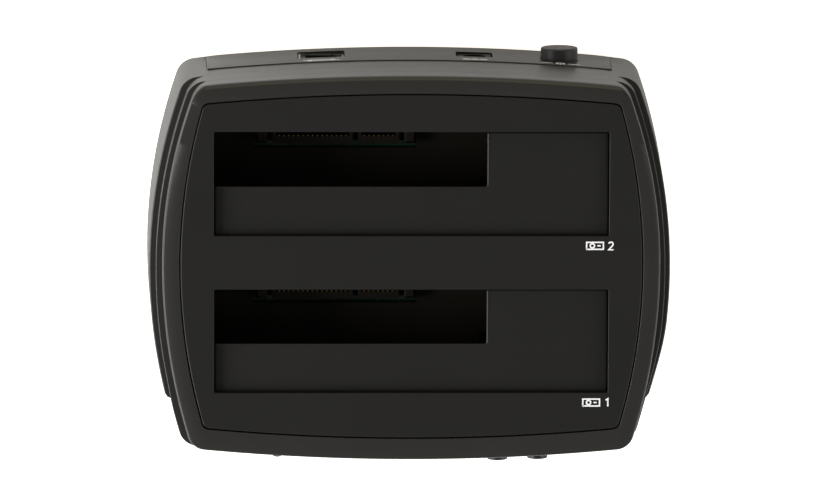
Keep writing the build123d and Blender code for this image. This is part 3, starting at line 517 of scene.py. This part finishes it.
def station(height, side, inset=0.0, recess=0.0):
    """Height, then how far the side, front and rear stand out, then the plan's corner radius.

    A trace of what the side lacks is taken off the front and rear, so that no two rows fall together there.
    """
    lack = trace * (lower_side - inset - side)
    front, rear = bezel_front - inset - recess - lack, bezel_rear - inset - lack
    return (height, side, front, rear, bezel_corner - inset)


def wall_station(height, side):
    """A corner of the outside below the bezel, where the front wall is set back."""
    return station(height, side, recess=front_recess)


def bezel_edge(steps=7):
    """Quarter ellipse from the bezel's wall to its upper face, wider at the rear than elsewhere."""
    turn = np.linspace(0, np.pi / 2, steps)
    height = body_top - bezel_drop - bezel_edge_height * (1 - np.sin(turn))
    draw = 1 - np.cos(turn)
    rows = np.stack([
        height, bezel_side - bezel_edge_side * draw, bezel_front - bezel_edge_front * draw,
        bezel_rear - bezel_edge_rear * draw, bezel_corner - bezel_edge_side * draw,
    ], axis=-1)
    return [(tuple(row), 0.0) for row in rows]


outside = [
    (wall_station(foot_gap, lower_side + lower_flare), ease),
    (wall_station(lower_top, lower_side), blunt_ease),
    (wall_station(lower_top, lower_groove_side), ease),
    (wall_station(middle_bottom, lower_groove_side), ease),
    (wall_station(middle_bottom, middle_side + middle_flare), ease),
    (wall_station(middle_top, middle_side), ease),
    (wall_station(middle_top, upper_groove_side), ease),
    (wall_station(upper_bottom, upper_groove_side), step_ease),
    (wall_station(upper_bottom, bezel_side + upper_flare), ease),
    (wall_station(front_step - step_height, bezel_side + upper_flare / 2), step_ease),
    (station(front_step, bezel_side + upper_flare / 2), step_ease),
    *bezel_edge(),
    ((body_top, lip, lip, lip, seam_corner + lip), ease),
]
inside = [
    ((seat_height, lip, lip, lip, seam_corner + lip), seat_ease),
    ((seat_height, -ledge, -ledge, -ledge, seam_corner), seat_ease),
    ((roof, -ledge, -ledge, -ledge, seam_corner), seat_ease),
    (station(roof, upper_groove_side - groove_wall, wall), ease),
    (station(middle_top - wall, upper_groove_side - groove_wall, wall), ease),
    (station(middle_top - wall, lower_groove_side - groove_wall, wall), ease),
    (station(lower_top - wall, lower_groove_side - groove_wall, wall), ease),
    (station(lower_top - wall, lower_side - wall, wall), ease),
    (station(foot_gap, lower_side + lower_flare - wall, wall), ease),
]
section = eased([c for c, _ in outside + inside], [s for _, s in outside + inside], steps=7)
print("section of", len(section), "points")

# %% [markdown]
# The lowest band doesn't run to the front: it stops short of the front corner in a blunt end. So two sets
# of rings are made, one with the band and one with the wall behind it, and the surface slides from one to
# the other over about a millimetre, just behind the corner.
#
# The real moulding isn't quite regular, so the points are then moved a little, by amounts in plain
# millimetres. Towards the rear the bands lean in, the bezel with them, and its upper edge sinks. On the
# right the bands are drawn in near the front, and at the front left the middle one's corner stands forward.

# %% Cover surface
skirt_front = origin_y - 38.2 * mm
skirt_ease = 1.0 * mm
bezel_bend = -0.0008
lean_middle, lean_slope, lean_bend = 0.19, -0.027, -0.00044
band_shares = [1, 0.75, 0.75, 0]
beside_start, beside_length = 50, 10
pull_by, pull_start, pull_length = 1.2, 18, 22
push_by, push_left, push_left_length, push_front, push_front_length = 1.3, 46, 8, 30, 10
drop_by, drop_length, drop_from, drop_over = 0.45, 45, 56, 3


def smooth_step(t):
    """Rises from nought to one with a soft start and end."""
    t = np.clip(t, 0, 1)
    return t * t * (3 - 2 * t)


height, side, front, rear, corner = section.T
x, y = barrel_ring(side, front, rear, corner)
low = height < (lower_top + middle_bottom) / 2
behind_wall = np.where(front < bezel_front - wall / 2, lower_groove_side - groove_wall, lower_groove_side)
cut_side = np.where(low, np.minimum(side, behind_wall), side)
cut_x, cut_y = barrel_ring(cut_side, front, rear, corner)
share = smooth_step((y - skirt_front + skirt_ease) / skirt_ease)
x, y = cut_x + (x - cut_x) * share, cut_y + (y - cut_y) * share
z = np.broadcast_to(height[:, None], x.shape)
along = (y - origin_y) / mm
bezel_lean = bezel_bend * np.maximum(along, 0) ** 2
pull = pull_by * smooth_step((-along - pull_start) / pull_length) * (x > 0)
band_lean = lean_middle + lean_slope * along + lean_bend * along**2 - pull
band = np.interp(height, [lower_top, middle_bottom, middle_top, upper_bottom], band_shares)[:, None]
outward = np.clip(side / bezel_side, 0, 1)[:, None]
beside = smooth_step((np.abs(x) / mm - beside_start) / beside_length) * np.sign(x)
at_left = smooth_step((-x / mm - push_left) / push_left_length)
at_front = smooth_step((-along - push_front) / push_front_length)
on_middle = (middle_bottom - 0.1 * mm < height) & (height < middle_top + 0.1 * mm)
on_middle &= side > lower_groove_side
y = y - push_by * at_left * at_front * on_middle[:, None] * mm
x = x + beside * outward * (bezel_lean + (band_lean - bezel_lean) * band) * mm
behind = smooth_step(along / drop_length) * np.clip(rear / bezel_rear, 0, 1)[:, None]
z = z - behind * drop_by * mm * smooth_step((z / mm - drop_from) / drop_over)
cover = new_piece("cover", np.stack([x, y, z], -1), grid_faces(*x.shape, close_rows=True))
print("cover:", len(cover.data.vertices), "points")

# %% [markdown]
# ## Outlines with rounded corners
# Slots, flaps and the window for the ports are all right-angled outlines with small round corners. One
# function draws such an outline, moved in or out by a distance. An edge is rounded by a stack of them, each
# a little further in and a little higher.

# %% Rounded outlines
def rounded_ring(corners, radius, inset=0.0, steps=7):
    """Anticlockwise right-angled outline drawn in by inset, with a quarter circle for each corner."""
    corners = np.asarray(corners, float)
    back = np.roll(corners, 1, axis=0) - corners
    ahead = np.roll(corners, -1, axis=0) - corners
    back /= np.linalg.norm(back, axis=1, keepdims=True)
    ahead /= np.linalg.norm(ahead, axis=1, keepdims=True)
    convex = np.sign(ahead[:, :1] * back[:, 1:] - ahead[:, 1:] * back[:, :1])
    reach = radius - convex * inset
    centre = corners + (convex * inset + reach) * (back + ahead)
    turn = np.linspace(0, np.pi / 2, steps)[None, :, None]
    arcs = centre[:, None] - reach[:, None] * (ahead[:, None] * np.cos(turn) + back[:, None] * np.sin(turn))
    return arcs.reshape(-1, 2)


def rounded_edge(start, size, bottom, top, steps=5, apron=0.3 * mm):
    """Rows of (inset, height) up a plate's edge: its foot, a quarter circle and a flat apron."""
    turn = np.linspace(0, np.pi / 2, steps)
    inset = np.concatenate([[start], start + size * (1 - np.cos(turn)), [start + size + apron]])
    height = np.concatenate([[bottom], top - size * (1 - np.sin(turn)), [top]])
    return inset, height


def stacked(corners, radius, inset, level):
    """Rows of one rounded outline, each drawn in by its inset and lifted to its level."""
    rings = np.array([rounded_ring(corners, radius, i) for i in inset])
    return np.concatenate([rings, np.broadcast_to(level[:, None, None], (*rings.shape[:2], 1))], -1)


def plate(outer, holes=()):
    """Strips up the outer edge and each hole's edge, closed below and above by flat triangles."""
    points, faces, numbers = [], [], []
    start = 0
    for rows in (outer, *holes):
        count = rows.shape[0] * rows.shape[1]
        points.append(rows.reshape(-1, 3))
        faces.extend((grid_faces(*rows.shape[:2]) + start).tolist())
        numbers.append(np.arange(start, start + count).reshape(rows.shape[:2]))
        start += count
    points = np.concatenate(points)
    for row in (0, -1):
        loops = [n[row] for n in numbers]
        triangles = tessellate_polygon([[Vector(p) for p in points[loop]] for loop in loops])
        faces.extend(np.concatenate(loops)[np.array(triangles)].tolist())
    return points, faces


print("outline of", len(rounded_ring([(0, 0), (1, 0), (1, 1), (0, 1)], 0.1)), "points for a square")

# %% [markdown]
# The window for the ports and the holes for the front buttons and the lamp are cut out of the finished
# surface, as a drill and a milling cutter would. Each cutter is a plain closed shape that is thrown away.
# The window is a little wider at its foot than at its top, and so is the plate that fills it.

# %% Turned shapes and cutters
def turned(profile, place, axis=1, steps=48):
    """Profile of (radius, distance along the axis) carried round a line through the place."""
    profile = np.asarray(profile, float)
    angle = np.linspace(0, 2 * np.pi, steps, endpoint=False)
    radius, along = profile[:, :1], profile[:, 1:]
    first, second = (axis + 1) % 3, (axis + 2) % 3
    points = np.empty((len(profile), steps, 3))
    points[..., axis] = along
    points[..., first] = place[first] + radius * np.cos(angle)
    points[..., second] = place[second] + radius * np.sin(angle)
    return points, grid_faces(len(profile), steps)


def drill(x, z, radius, y0, y1):
    """Closed round cutter along Y."""
    return turned([(0, y0), (radius, y0), (radius, y1), (0, y1)], (x, 0, z))


def milled_slot(x0, x1, z0, z1, y0, y1, corner):
    """Closed cutter along Y with a rounded rectangle for its section."""
    ring = rounded_ring([(x0, z0), (x1, z0), (x1, z1), (x0, z1)], corner)
    centre = ring.mean(axis=0)
    shrink = np.array([0.0, 1.0, 1.0, 0.0])[:, None, None]
    flat = centre + (ring - centre) * shrink
    along = np.broadcast_to(np.array([y0, y0, y1, y1])[:, None], flat.shape[:2])
    return np.stack([flat[..., 0], along, flat[..., 1]], -1), grid_faces(*flat.shape[:2])


def combine(piece, shapes, operation="DIFFERENCE"):
    """Takes each shape's space out of a piece, or adds it, and keeps the result as the piece's own mesh."""
    for points, faces in shapes:
        tool = new_piece("tool", points, faces)
        step = piece.modifiers.new("step", "BOOLEAN")
        step.operation = operation
        step.solver = "EXACT"
        step.object = tool
        bpy.context.view_layer.update()
        result = bpy.data.meshes.new_from_object(piece.evaluated_get(bpy.context.evaluated_depsgraph_get()))
        piece.modifiers.clear()
        piece.data = result
        bpy.data.objects.remove(tool)
    tidy_mesh(piece.data)


# %% Window, button holes and lamp hole
io_half_width, io_low, io_high = 54.0 * mm, 5.0 * mm, 29.2 * mm
window_corner, plate_spread = 0.4 * mm, 0.6 * mm
rear_reach = (0, 100 * mm)
front_reach = (front_apex - 10 * mm, front_apex + 2 * wall)
button_gap, lamp_gap = 0.2 * mm, 0.1 * mm
button_shift = 0.25 * mm


def middle_of(node):
    """Middle of a node's box in x and z."""
    low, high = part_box(node)
    return (low.x + high.x) / 2, (low.z + high.z) / 2


button_radius = 2.75 * mm
lamp_radius = 1.5 * mm
front_holes = [
    (middle_of("start_button"), button_shift, button_radius + button_gap),
    (middle_of("mode_button"), button_shift, button_radius + button_gap),
    (middle_of("indicator_led"), 0, lamp_radius + lamp_gap),
]
window, window_faces = milled_slot(
    -io_half_width, io_half_width, io_low, io_high, *rear_reach, window_corner,
)
window[..., 0] *= 1 + plate_spread / io_half_width * (io_high - window[..., 2]) / (io_high - io_low)
cutters = [(window, window_faces)]
for (hole_x, hole_z), shift, radius in front_holes:
    cutters.append(drill(hole_x + shift, hole_z, radius, *front_reach))
combine(cover, cutters)
finish_piece(cover, case_black, "case_black", "case", "cover_shell")

# %% [markdown]
# ## The top panel
# The panel is a flat plate with the barrel's outline, let into the bezel with a narrow dark seam round it.
# Both drive slots are cut through it. Its outer edge is rounded by a quarter of a millimetre, and those of
# the slots by half of that, which is what catches the thin line of light along them. A narrow flat strip
# inside each rounded edge keeps the shading of the wide flat face even. The face lies a hair under the
# bezel's highest line, so the printed marks on it stay inside the height of the case.

# %% Panel
slot_width, slot_depth, slot_corner = 104.0 * mm, 27.75 * mm, 0.5 * mm
slot_centres = {"front": origin_y - 19.9 * mm, "rear": origin_y + 22.05 * mm}
panel_top = body_top - 0.06 * mm
panel_bottom = body_top - 2.0 * mm
seam_gap = 0.12 * mm
panel_round, slot_round = 0.25 * mm, 0.12 * mm

inset, level = rounded_edge(seam_gap, panel_round, panel_bottom, panel_top)
x, y = barrel_ring(-inset, -inset, -inset, seam_corner - inset)
outer = np.stack([x, y, np.broadcast_to(level[:, None], x.shape)], -1)


def slot_rows(centre):
    """Edge of a slot, as rows of its outline drawn out by the rounding's insets."""
    half_x, half_y = slot_width / 2, slot_depth / 2
    front, back = centre - half_y, centre + half_y
    corners = [(-half_x, front), (half_x, front), (half_x, back), (-half_x, back)]
    inset, level = rounded_edge(0, slot_round, panel_bottom, panel_top)
    return stacked(corners, slot_corner, -inset, level)


panel = new_piece("panel", *plate(outer, [slot_rows(c) for c in slot_centres.values()]))
finish_piece(panel, panel_black, "panel_black", "case", "top_panel")

# %% [markdown]
# ## The flaps
# Each slot is closed by a sprung flap in the shape of an L. Its long arm fills the front half of the slot,
# its short arm the right end, and the place that it leaves free at the back left is open, for a small
# drive. The plate is one outline again, with a rounded upper edge and a bevelled lower one. Three barrels
# on its front edge, joined to it by webs, hold the hinge pin. They are turned and milled shapes, added to
# the plate, and the pin's hole is drilled through all of them.

# %% Flaps
flap_gap, flap_side_gap, flap_round, flap_bevel = 0.4 * mm, 0.12 * mm, 0.4 * mm, 0.5 * mm
flap_top, flap_bottom = body_top - 2.3 * mm, body_top - 4.1 * mm
small_slot_right = 19.9 * mm
small_slot_depth = 14.9 * mm
barrel_radius, barrel_length, barrel_pitch = 1.7 * mm, 24.0 * mm, 38.0 * mm
pin_hole = 0.85 * mm
web_below, web_set_down, web_overlap, web_corner = 0.9 * mm, 0.6 * mm, 0.5 * mm, 0.3 * mm
flap_corner, barrel_ease = 0.6 * mm, 0.2 * mm


def flap_shape(name, centre, pin):
    """Plate of one flap with its hinge barrels, drilled for the pin."""
    back = centre + slot_depth / 2 - flap_gap
    front = centre - slot_depth / 2 - flap_gap
    notch = centre + slot_depth / 2 - small_slot_depth
    half = slot_width / 2 - flap_side_gap
    corners = [(-half, front), (half, front), (half, back)]
    corners += [(small_slot_right, back), (small_slot_right, notch), (-half, notch)]
    inset, level = rounded_edge(0, flap_round, flap_bottom + flap_bevel, flap_top)
    inset, level = np.concatenate([[flap_bevel], inset]), np.concatenate([[flap_bottom], level])
    flap = new_piece(name + "_plate", *plate(stacked(corners, flap_corner, inset, level)))
    low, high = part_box(pin)
    hinge = (low + high) / 2
    added = []
    for middle in (-barrel_pitch, 0, barrel_pitch):
        low, high = middle - barrel_length / 2, middle + barrel_length / 2
        ends = [
            (0, low), (barrel_radius - barrel_ease, low), (barrel_radius, low + barrel_ease),
            (barrel_radius, high - barrel_ease), (barrel_radius - barrel_ease, high), (0, high),
        ]
        added.append(turned(ends, hinge, axis=0))
        added.append(milled_slot(
            low, high, flap_bottom - web_below, flap_top - web_set_down,
            hinge[1], front + web_overlap, web_corner,
        ))
    combine(flap, added, "UNION")
    reach = half + mm
    pin_drill = [(0, -reach), (pin_hole, -reach), (pin_hole, reach), (0, reach)]
    combine(flap, [turned(pin_drill, hinge, axis=0)])
    return finish_piece(flap, panel_black, "panel_black", name, name)


for end, centre in slot_centres.items():
    flap_shape("flap_" + end, centre, "flap_pin_" + end)

# %% [markdown]
# ## The flap springs
# A close-wound torsion spring sits on each pin and pushes the flap up. One leg lies under the flap and
# swings with it, and the other stays in a pocket of the guide. So the spring is made as two pieces: the coil
# with its long leg rides on the flap, and the short leg rides on the case and never comes near the panel.
# The coil is a ribbed sleeve: the turns touch, so a turned profile of half rounds looks just like the wire.

# %% Springs
spring_wire, spring_pitch, spring_bore, leg_radius = 0.6 * mm, 0.55 * mm, 1.0 * mm, 0.22 * mm
coil_radius = spring_bore + spring_wire / 2
coil_steps, coil_trim = 57, 0.03 * mm


def rod(start, end, radius, steps=16):
    """Rings of the radius round the line from start to end, closed by a point at both ends."""
    start, end = np.asarray(start, float), np.asarray(end, float)
    ahead = (end - start) / np.linalg.norm(end - start)
    across = np.cross(ahead, (1, 0, 0))
    across /= np.linalg.norm(across)
    angle = np.linspace(0, 2 * np.pi, steps, endpoint=False)[:, None]
    ring = np.cos(angle) * across + np.sin(angle) * np.cross(ahead, across)
    reach = np.array([0, 0, 1, 1])[:, None, None]
    width = np.array([0, radius, radius, 0])[:, None, None]
    return start + reach * (end - start) + width * ring, grid_faces(4, steps)


for end in slot_centres:
    low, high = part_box("flap_spring_" + end)
    pin_low, pin_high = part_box("flap_pin_" + end)
    hinge_y, hinge_z = (pin_low.y + pin_high.y) / 2, (pin_low.z + pin_high.z) / 2
    first, last = low.x + spring_wire / 2, high.x - spring_wire / 2
    along_coil = np.linspace(low.x + coil_trim, high.x - coil_trim, coil_steps)
    off_turn = (along_coil - first + spring_pitch / 2) % spring_pitch - spring_pitch / 2
    off_turn = np.where(along_coil < first, along_coil - first, off_turn)
    off_turn = np.where(along_coil > last, along_coil - last, off_turn)
    crest = coil_radius + np.sqrt((spring_wire / 2) ** 2 - off_turn**2)
    profile = [(spring_bore, along_coil[0]), *zip(crest, along_coil)]
    profile += [(spring_bore, along_coil[-1]), (spring_bore, along_coil[0])]
    coil = new_piece("spring_coil_" + end, *turned(profile, (0, hinge_y, hinge_z), axis=0, steps=32))
    leg_start = (first, hinge_y, hinge_z - coil_radius)
    leg_end = (first, high.y - leg_radius, flap_bottom - leg_radius)
    combine(coil, [rod(leg_start, leg_end, leg_radius)], "UNION")
    finish_piece(coil, finishes["steel"], "steel", "flap_" + end, "flap_spring_" + end)
    tail_start = (last, hinge_y + spring_wire / 2, hinge_z - coil_radius)
    tail_end = (last, low.y, hinge_z - coil_radius)
    tail = new_piece("spring_tail_" + end, *rod(tail_start, tail_end, leg_radius))
    finish_piece(tail, finishes["steel"], "steel", "case")

# %% [markdown]
# ## The port plate
# The ports sit in a long plate that fills the window in the rear wall. It bows with the wall and stands a
# third of a millimetre proud of it, with a fine seam round it. Its section, a flat bar with rounded outer
# edges, is carried along the bow, and drawn in over the last bit at each end. A flange behind it laps the
# wall inside. Then the openings for the data socket, the power inlet and the power button are cut through.

# %% Port plate
plate_gap, plate_proud, plate_round = 0.12 * mm, 0.3 * mm, 0.3 * mm
plate_half, plate_low, plate_high = io_half_width - plate_gap, io_low + plate_gap, io_high - plate_gap
bow_steps = 61


def wall_line(x, proud=0.0):
    """Y of the rear wall's bowed face at x, moved outwards by proud."""
    disc = end_bow_radius + bezel_rear + proud
    return np.sqrt(disc**2 - x**2) - end_centre + origin_y


def bowed_bar(half, low, high, proud, depth, edge):
    """Section of a flat bar with rounded outer edges, carried along the bow and drawn in at both ends."""
    section = eased([(low, -depth), (low, 0), (high, 0), (high, -depth)], [edge / 10, edge, edge, edge / 10])
    turn = np.linspace(0, np.pi / 2, 5)
    end_x, draw_in = edge * (1 - np.cos(turn)), edge * (1 - np.sin(turn))
    middle_x = np.linspace(4 * edge - half, half - 4 * edge, bow_steps)
    x = np.concatenate([end_x - half, middle_x, half - end_x[::-1]])
    inset = np.concatenate([draw_in, np.zeros(bow_steps), draw_in[::-1]])[:, None]
    middle = (low + high) / 2
    z = middle + (section[:, 0] - middle) * (1 - 2 * inset / (high - low))
    y = wall_line(x, proud)[:, None] - depth + (section[:, 1] + depth) * (1 - inset / depth)
    x = x[:, None] * (1 + plate_spread * (high - z) / (high - low) / half)
    faces = grid_faces(*z.shape).tolist()
    faces += [list(range(z.shape[1])), list(range(z.size - z.shape[1], z.size))]
    return np.stack([x, y, z], -1), faces


data_x, data_z = middle_of("usb_socket_shell")
inlet_x, inlet_z = middle_of("dc_jack_body")[0], 17.0 * mm
power_x, power_z = middle_of("power_button")
data_hole = (12.6 * mm, 12.2 * mm, 0.6 * mm)
inlet_hole = (9.8 * mm, 9.2 * mm, 0.8 * mm)
power_radius, power_gap = 4.95 * mm, 0.25 * mm
plate_depth, flange, flange_depth, flange_overlap = 2.55 * mm, 1.5 * mm, 1.3 * mm, 0.02 * mm

bar = bowed_bar(plate_half, plate_low, plate_high, plate_proud, plate_depth, plate_round)
port_plate = new_piece("port_plate", *bar)
rim = bowed_bar(
    plate_half + flange, plate_low - flange, plate_high + flange,
    plate_proud - plate_depth + flange_overlap, flange_depth, plate_round,
)
combine(port_plate, [rim], "UNION")
cutters = [
    milled_slot(hx - w / 2, hx + w / 2, hz - h / 2, hz + h / 2, *rear_reach, corner)
    for hx, hz, (w, h, corner) in ((data_x, data_z, data_hole), (inlet_x, inlet_z, inlet_hole))
]
cutters.append(drill(power_x, power_z, power_radius + power_gap, *rear_reach))
combine(port_plate, cutters)
finish_piece(port_plate, case_black, "case_black", "case", "io_panel")

# %% [markdown]
# ## Buttons, lamp and feet
# These are turned shapes: a profile of radius against depth, carried round an axis. The power button is a
# short drum with a rounded edge, which stands out of the port plate and has a coarser grain. The two front
# buttons are slightly crowned, and the lamp beside them is a small dome of smoky clear plastic. Each foot
# is a rubber disc with a shallow dish in its sole.

# %% Power button
power_low, power_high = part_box("power_button")
power_edge, power_rim, rim_play = 0.45 * mm, 0.6 * mm, 0.3 * mm
rim_front = wall_line(abs(power_x) + power_radius, plate_proud - plate_depth) - rim_play
rim_radius = power_radius + power_rim


def rounded_end(radius, face, edge, steps=8):
    """Quarter circle from the flat face at the end of a turned shape to its side."""
    turn = np.linspace(0, np.pi / 2, steps)
    return zip(radius - edge + edge * np.sin(turn), face - edge + edge * np.cos(turn))


profile = [(0, power_high.y), *rounded_end(power_radius, power_high.y, power_edge)]
profile += [(power_radius, rim_front), (rim_radius, rim_front), (rim_radius, power_low.y), (0, power_low.y)]
power_button = new_piece("power_drum", *turned(profile, (power_x, 0, power_z), steps=96))
finish_piece(power_button, drum_black, "button_black", "power_button", "power_button")

# %% Front buttons
crown, front_rim, rim_thickness, stem = 0.15 * mm, 1.0 * mm, 0.8 * mm, 1.5 * mm
edge_width, edge_bevel, edge_depth = 0.25 * mm, 0.08 * mm, 0.3 * mm
rim_start = front_apex + wall + 0.6 * mm
rim_end = rim_start + rim_thickness
outer = button_radius + front_rim
for name, sunk in (("start_button", 0.5 * mm), ("mode_button", 0.8 * mm)):
    low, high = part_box(name)
    bx, bz = middle_of(name)
    r = np.linspace(0, button_radius - edge_width, 6)
    dome = low.y + sunk + crown * (r / button_radius) ** 2
    profile = list(zip(r, dome))
    profile += [(button_radius - edge_bevel, dome[-1] + edge_bevel), (button_radius, dome[-1] + edge_depth)]
    profile += [(button_radius, rim_start), (outer, rim_start), (outer, rim_end)]
    profile += [(stem, rim_end), (stem, high.y), (0, high.y)]
    button = new_piece(name + "_cap", *turned(profile, (bx + button_shift, 0, bz)))
    finish_piece(button, button_black, "button_black", name, name)

# %% Lamp
lamp_x, lamp_z = middle_of("indicator_led")
lamp_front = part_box("indicator_led")[0].y + 0.25 * mm
dome_depth, lamp_length = 0.9 * mm, 5 * mm
turn = np.linspace(0, np.pi / 2, 9)
profile = list(zip(lamp_radius * np.sin(turn), lamp_front + dome_depth * (1 - np.cos(turn))))
profile += [(lamp_radius, lamp_front + lamp_length), (0, lamp_front + lamp_length)]
lamp = new_piece("lamp", *turned(profile, (lamp_x, 0, lamp_z)))
finish_piece(lamp, finishes["lamp_clear"], "lamp_clear", "case", "indicator_led")

# %% Feet
sole_edge, dish_depth, dish_flat, dish_rim = 0.5 * mm, 0.35 * mm, 0.55, 0.66
turn = np.linspace(0, np.pi / 2, 6)
for number in range(1, 5):
    name = f"foot_{number}"
    low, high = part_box(name)
    radius = (high.x - low.x) / 2
    middle = (low + high) / 2
    profile = [(0, dish_depth), (radius * dish_flat, dish_depth), (radius * dish_rim, 0)]
    profile += list(zip(radius - sole_edge + sole_edge * np.sin(turn), sole_edge * (1 - np.cos(turn))))
    profile += [(radius, high.z), (0, high.z)]
    foot = new_piece(name + "_rubber", *turned(profile, middle, axis=2))
    finish_piece(foot, finishes["foot_rubber"], "foot_rubber", "case", name)

# %% [markdown]
# ## Printed marks
# Each slot has its number in white at its front right corner, beside a small sign of a drive. On the port
# plate are signs instead of words: two arrows over the data socket, a line over three dashes for direct
# current over the inlet, and a ring with a stroke over the power button. They are lines of ink: a low
# section, about half a millimetre wide, carried along a path. The paths are drawn flat, in shares of the
# sign's height, and then laid on the panel or wrapped onto the bowed plate.

# %% Ink lines
def ink_line(path, width, height):
    """Rectangle of the width and height carried along a flat path; each joint is mitred on its bisector."""
    path = np.asarray(path, float)
    ahead = np.diff(path, axis=0)
    ahead /= np.linalg.norm(ahead, axis=1, keepdims=True)
    before, after = np.vstack([ahead[:1], ahead]), np.vstack([ahead, ahead[-1:]])
    side = np.stack([-(before + after)[:, 1], (before + after)[:, 0]], -1)
    side /= np.linalg.norm(side, axis=1, keepdims=True)
    across = np.stack([-after[:, 1], after[:, 0]], -1)
    side *= (width / 2 / np.clip((side * across).sum(1), 0.5, 1))[:, None]
    rails = [(path + side, 0), (path - side, 0), (path - side, height), (path + side, height)]
    grid = np.stack([np.column_stack([flat, np.full(len(flat), h)]) for flat, h in rails], axis=1)
    faces = grid_faces(*grid.shape[:2]).tolist()
    faces += [[0, 1, 2, 3], [grid.shape[0] * 4 - 4 + k for k in range(4)]]
    return grid.reshape(-1, 3), faces


def arc(centre, radius, start, stop, steps=24):
    """Points round part of a circle, from one angle in degrees to another."""
    angle = np.radians(np.linspace(start, stop, steps))
    return np.column_stack([centre[0] + radius * np.cos(angle), centre[1] + radius * np.sin(angle)])


def printed(name, paths, width, lay, size=1.0):
    """One piece of ink from several paths, each point laid on its surface by the function lay(u, v, h)."""
    points, faces, start = [], [], 0
    for path in paths:
        grid, cells = ink_line(np.asarray(path) * size, width, ink_height)
        points.append(grid)
        faces += [[start + k for k in cell] for cell in cells]
        start += len(grid)
    points = np.concatenate(points)
    mark = new_piece(name, lay(*points.T), faces)
    return finish_piece(mark, ink_white, None, "case")


ink_height = 0.03 * mm
ink_white = moulded_plastic("ink_white", (0.93, 0.93, 0.93), 0.5, depth=0.004 * mm, drift=0.03)
digits = {
    "front": [[(0.12, 0.78), (0.40, 1.0), (0.40, 0.0)]],
    "rear": [np.vstack([arc((0.30, 0.70), 0.27, 165, -35), [(0.02, 0.0), (0.62, 0.0)]])],
}
drive_sign = [
    [(0.0, 0.06), (0.0, 0.94), (2.1, 0.94), (2.1, 0.06), (-0.06, 0.06)],
    arc((0.72, 0.5), 0.27, 0, 360),
    [(1.35, 0.5), (1.75, 0.5)],
]
label_height, label_width = 2.1 * mm, 0.38 * mm
label_length, label_drop, digit_start = 7.4 * mm, 3.55 * mm, 2.75
past_slot = {"front": 0.8 * mm, "rear": 1.5 * mm}
for end, centre in slot_centres.items():
    right = slot_width / 2 + past_slot[end]
    base = centre - slot_depth / 2 - label_drop

    def on_panel(u, v, h, left=right - label_length, base=base):
        """Flat on the top panel, from the label's lower left corner."""
        return np.stack([left + u, base + v, panel_top + h], -1)

    paths = drive_sign + [np.asarray(path) + (digit_start, 0) for path in digits[end]]
    printed("mark_" + end, paths, label_width, on_panel, label_height)

data_sign = [
    [(0.0, 0.72), (3.4, 0.72)], [(3.0, 1.0), (3.4, 0.72), (3.0, 0.44)],
    [(3.9, 0.28), (0.5, 0.28)], [(0.9, 0.56), (0.5, 0.28), (0.9, 0.0)],
]
current_sign = [
    [(0, 0.7), (2.6, 0.7)],
    [(0, 0.25), (0.7, 0.25)], [(0.95, 0.25), (1.65, 0.25)], [(1.9, 0.25), (2.6, 0.25)],
]
power_sign = [
    [(0.0, 0.5), (1.3, 0.5)], arc((2.1, 0.5), 0.42, 125, 415),
    [(2.1, 0.55), (2.1, 1.1)], [(2.9, 0.5), (4.2, 0.5)],
]
plate_signs = [
    ("mark_data", data_sign, data_x, 3.9),
    ("mark_inlet", current_sign, inlet_x, 2.6),
    ("mark_power", power_sign, power_x, 4.2),
]
sign_base, sign_height, sign_width = 25.4 * mm, 2.5 * mm, 0.55 * mm
for name, paths, middle, length in plate_signs:

    def on_plate(u, v, h, middle=middle, length=length):
        """Wrapped onto the bowed plate, centred over its port, and seen from behind."""
        x = middle + length * sign_height / 2 - u
        return np.stack([x, wall_line(x, plate_proud) + h, sign_base + v], -1)

    printed(name, paths, sign_width, on_plate, sign_height)

# %% [markdown]
# ## Finish for the carried-over solids
# The pieces inside the case keep their solid shape. Each takes the finish that its slot in the record
# names.

# %% Carried-over nodes
slot_of = {s["node"]: s["material_slot"] for s in frame["record"]["subparts"]}
for name, node in frame["nodes"].items():
    if not node.hide_render:
        for place in node.material_slots:
            place.material = finishes[slot_of[name]]
        if not node.material_slots:
            node.data.materials.append(finishes[slot_of[name]])
print(len(frame["nodes"]), "nodes finished")
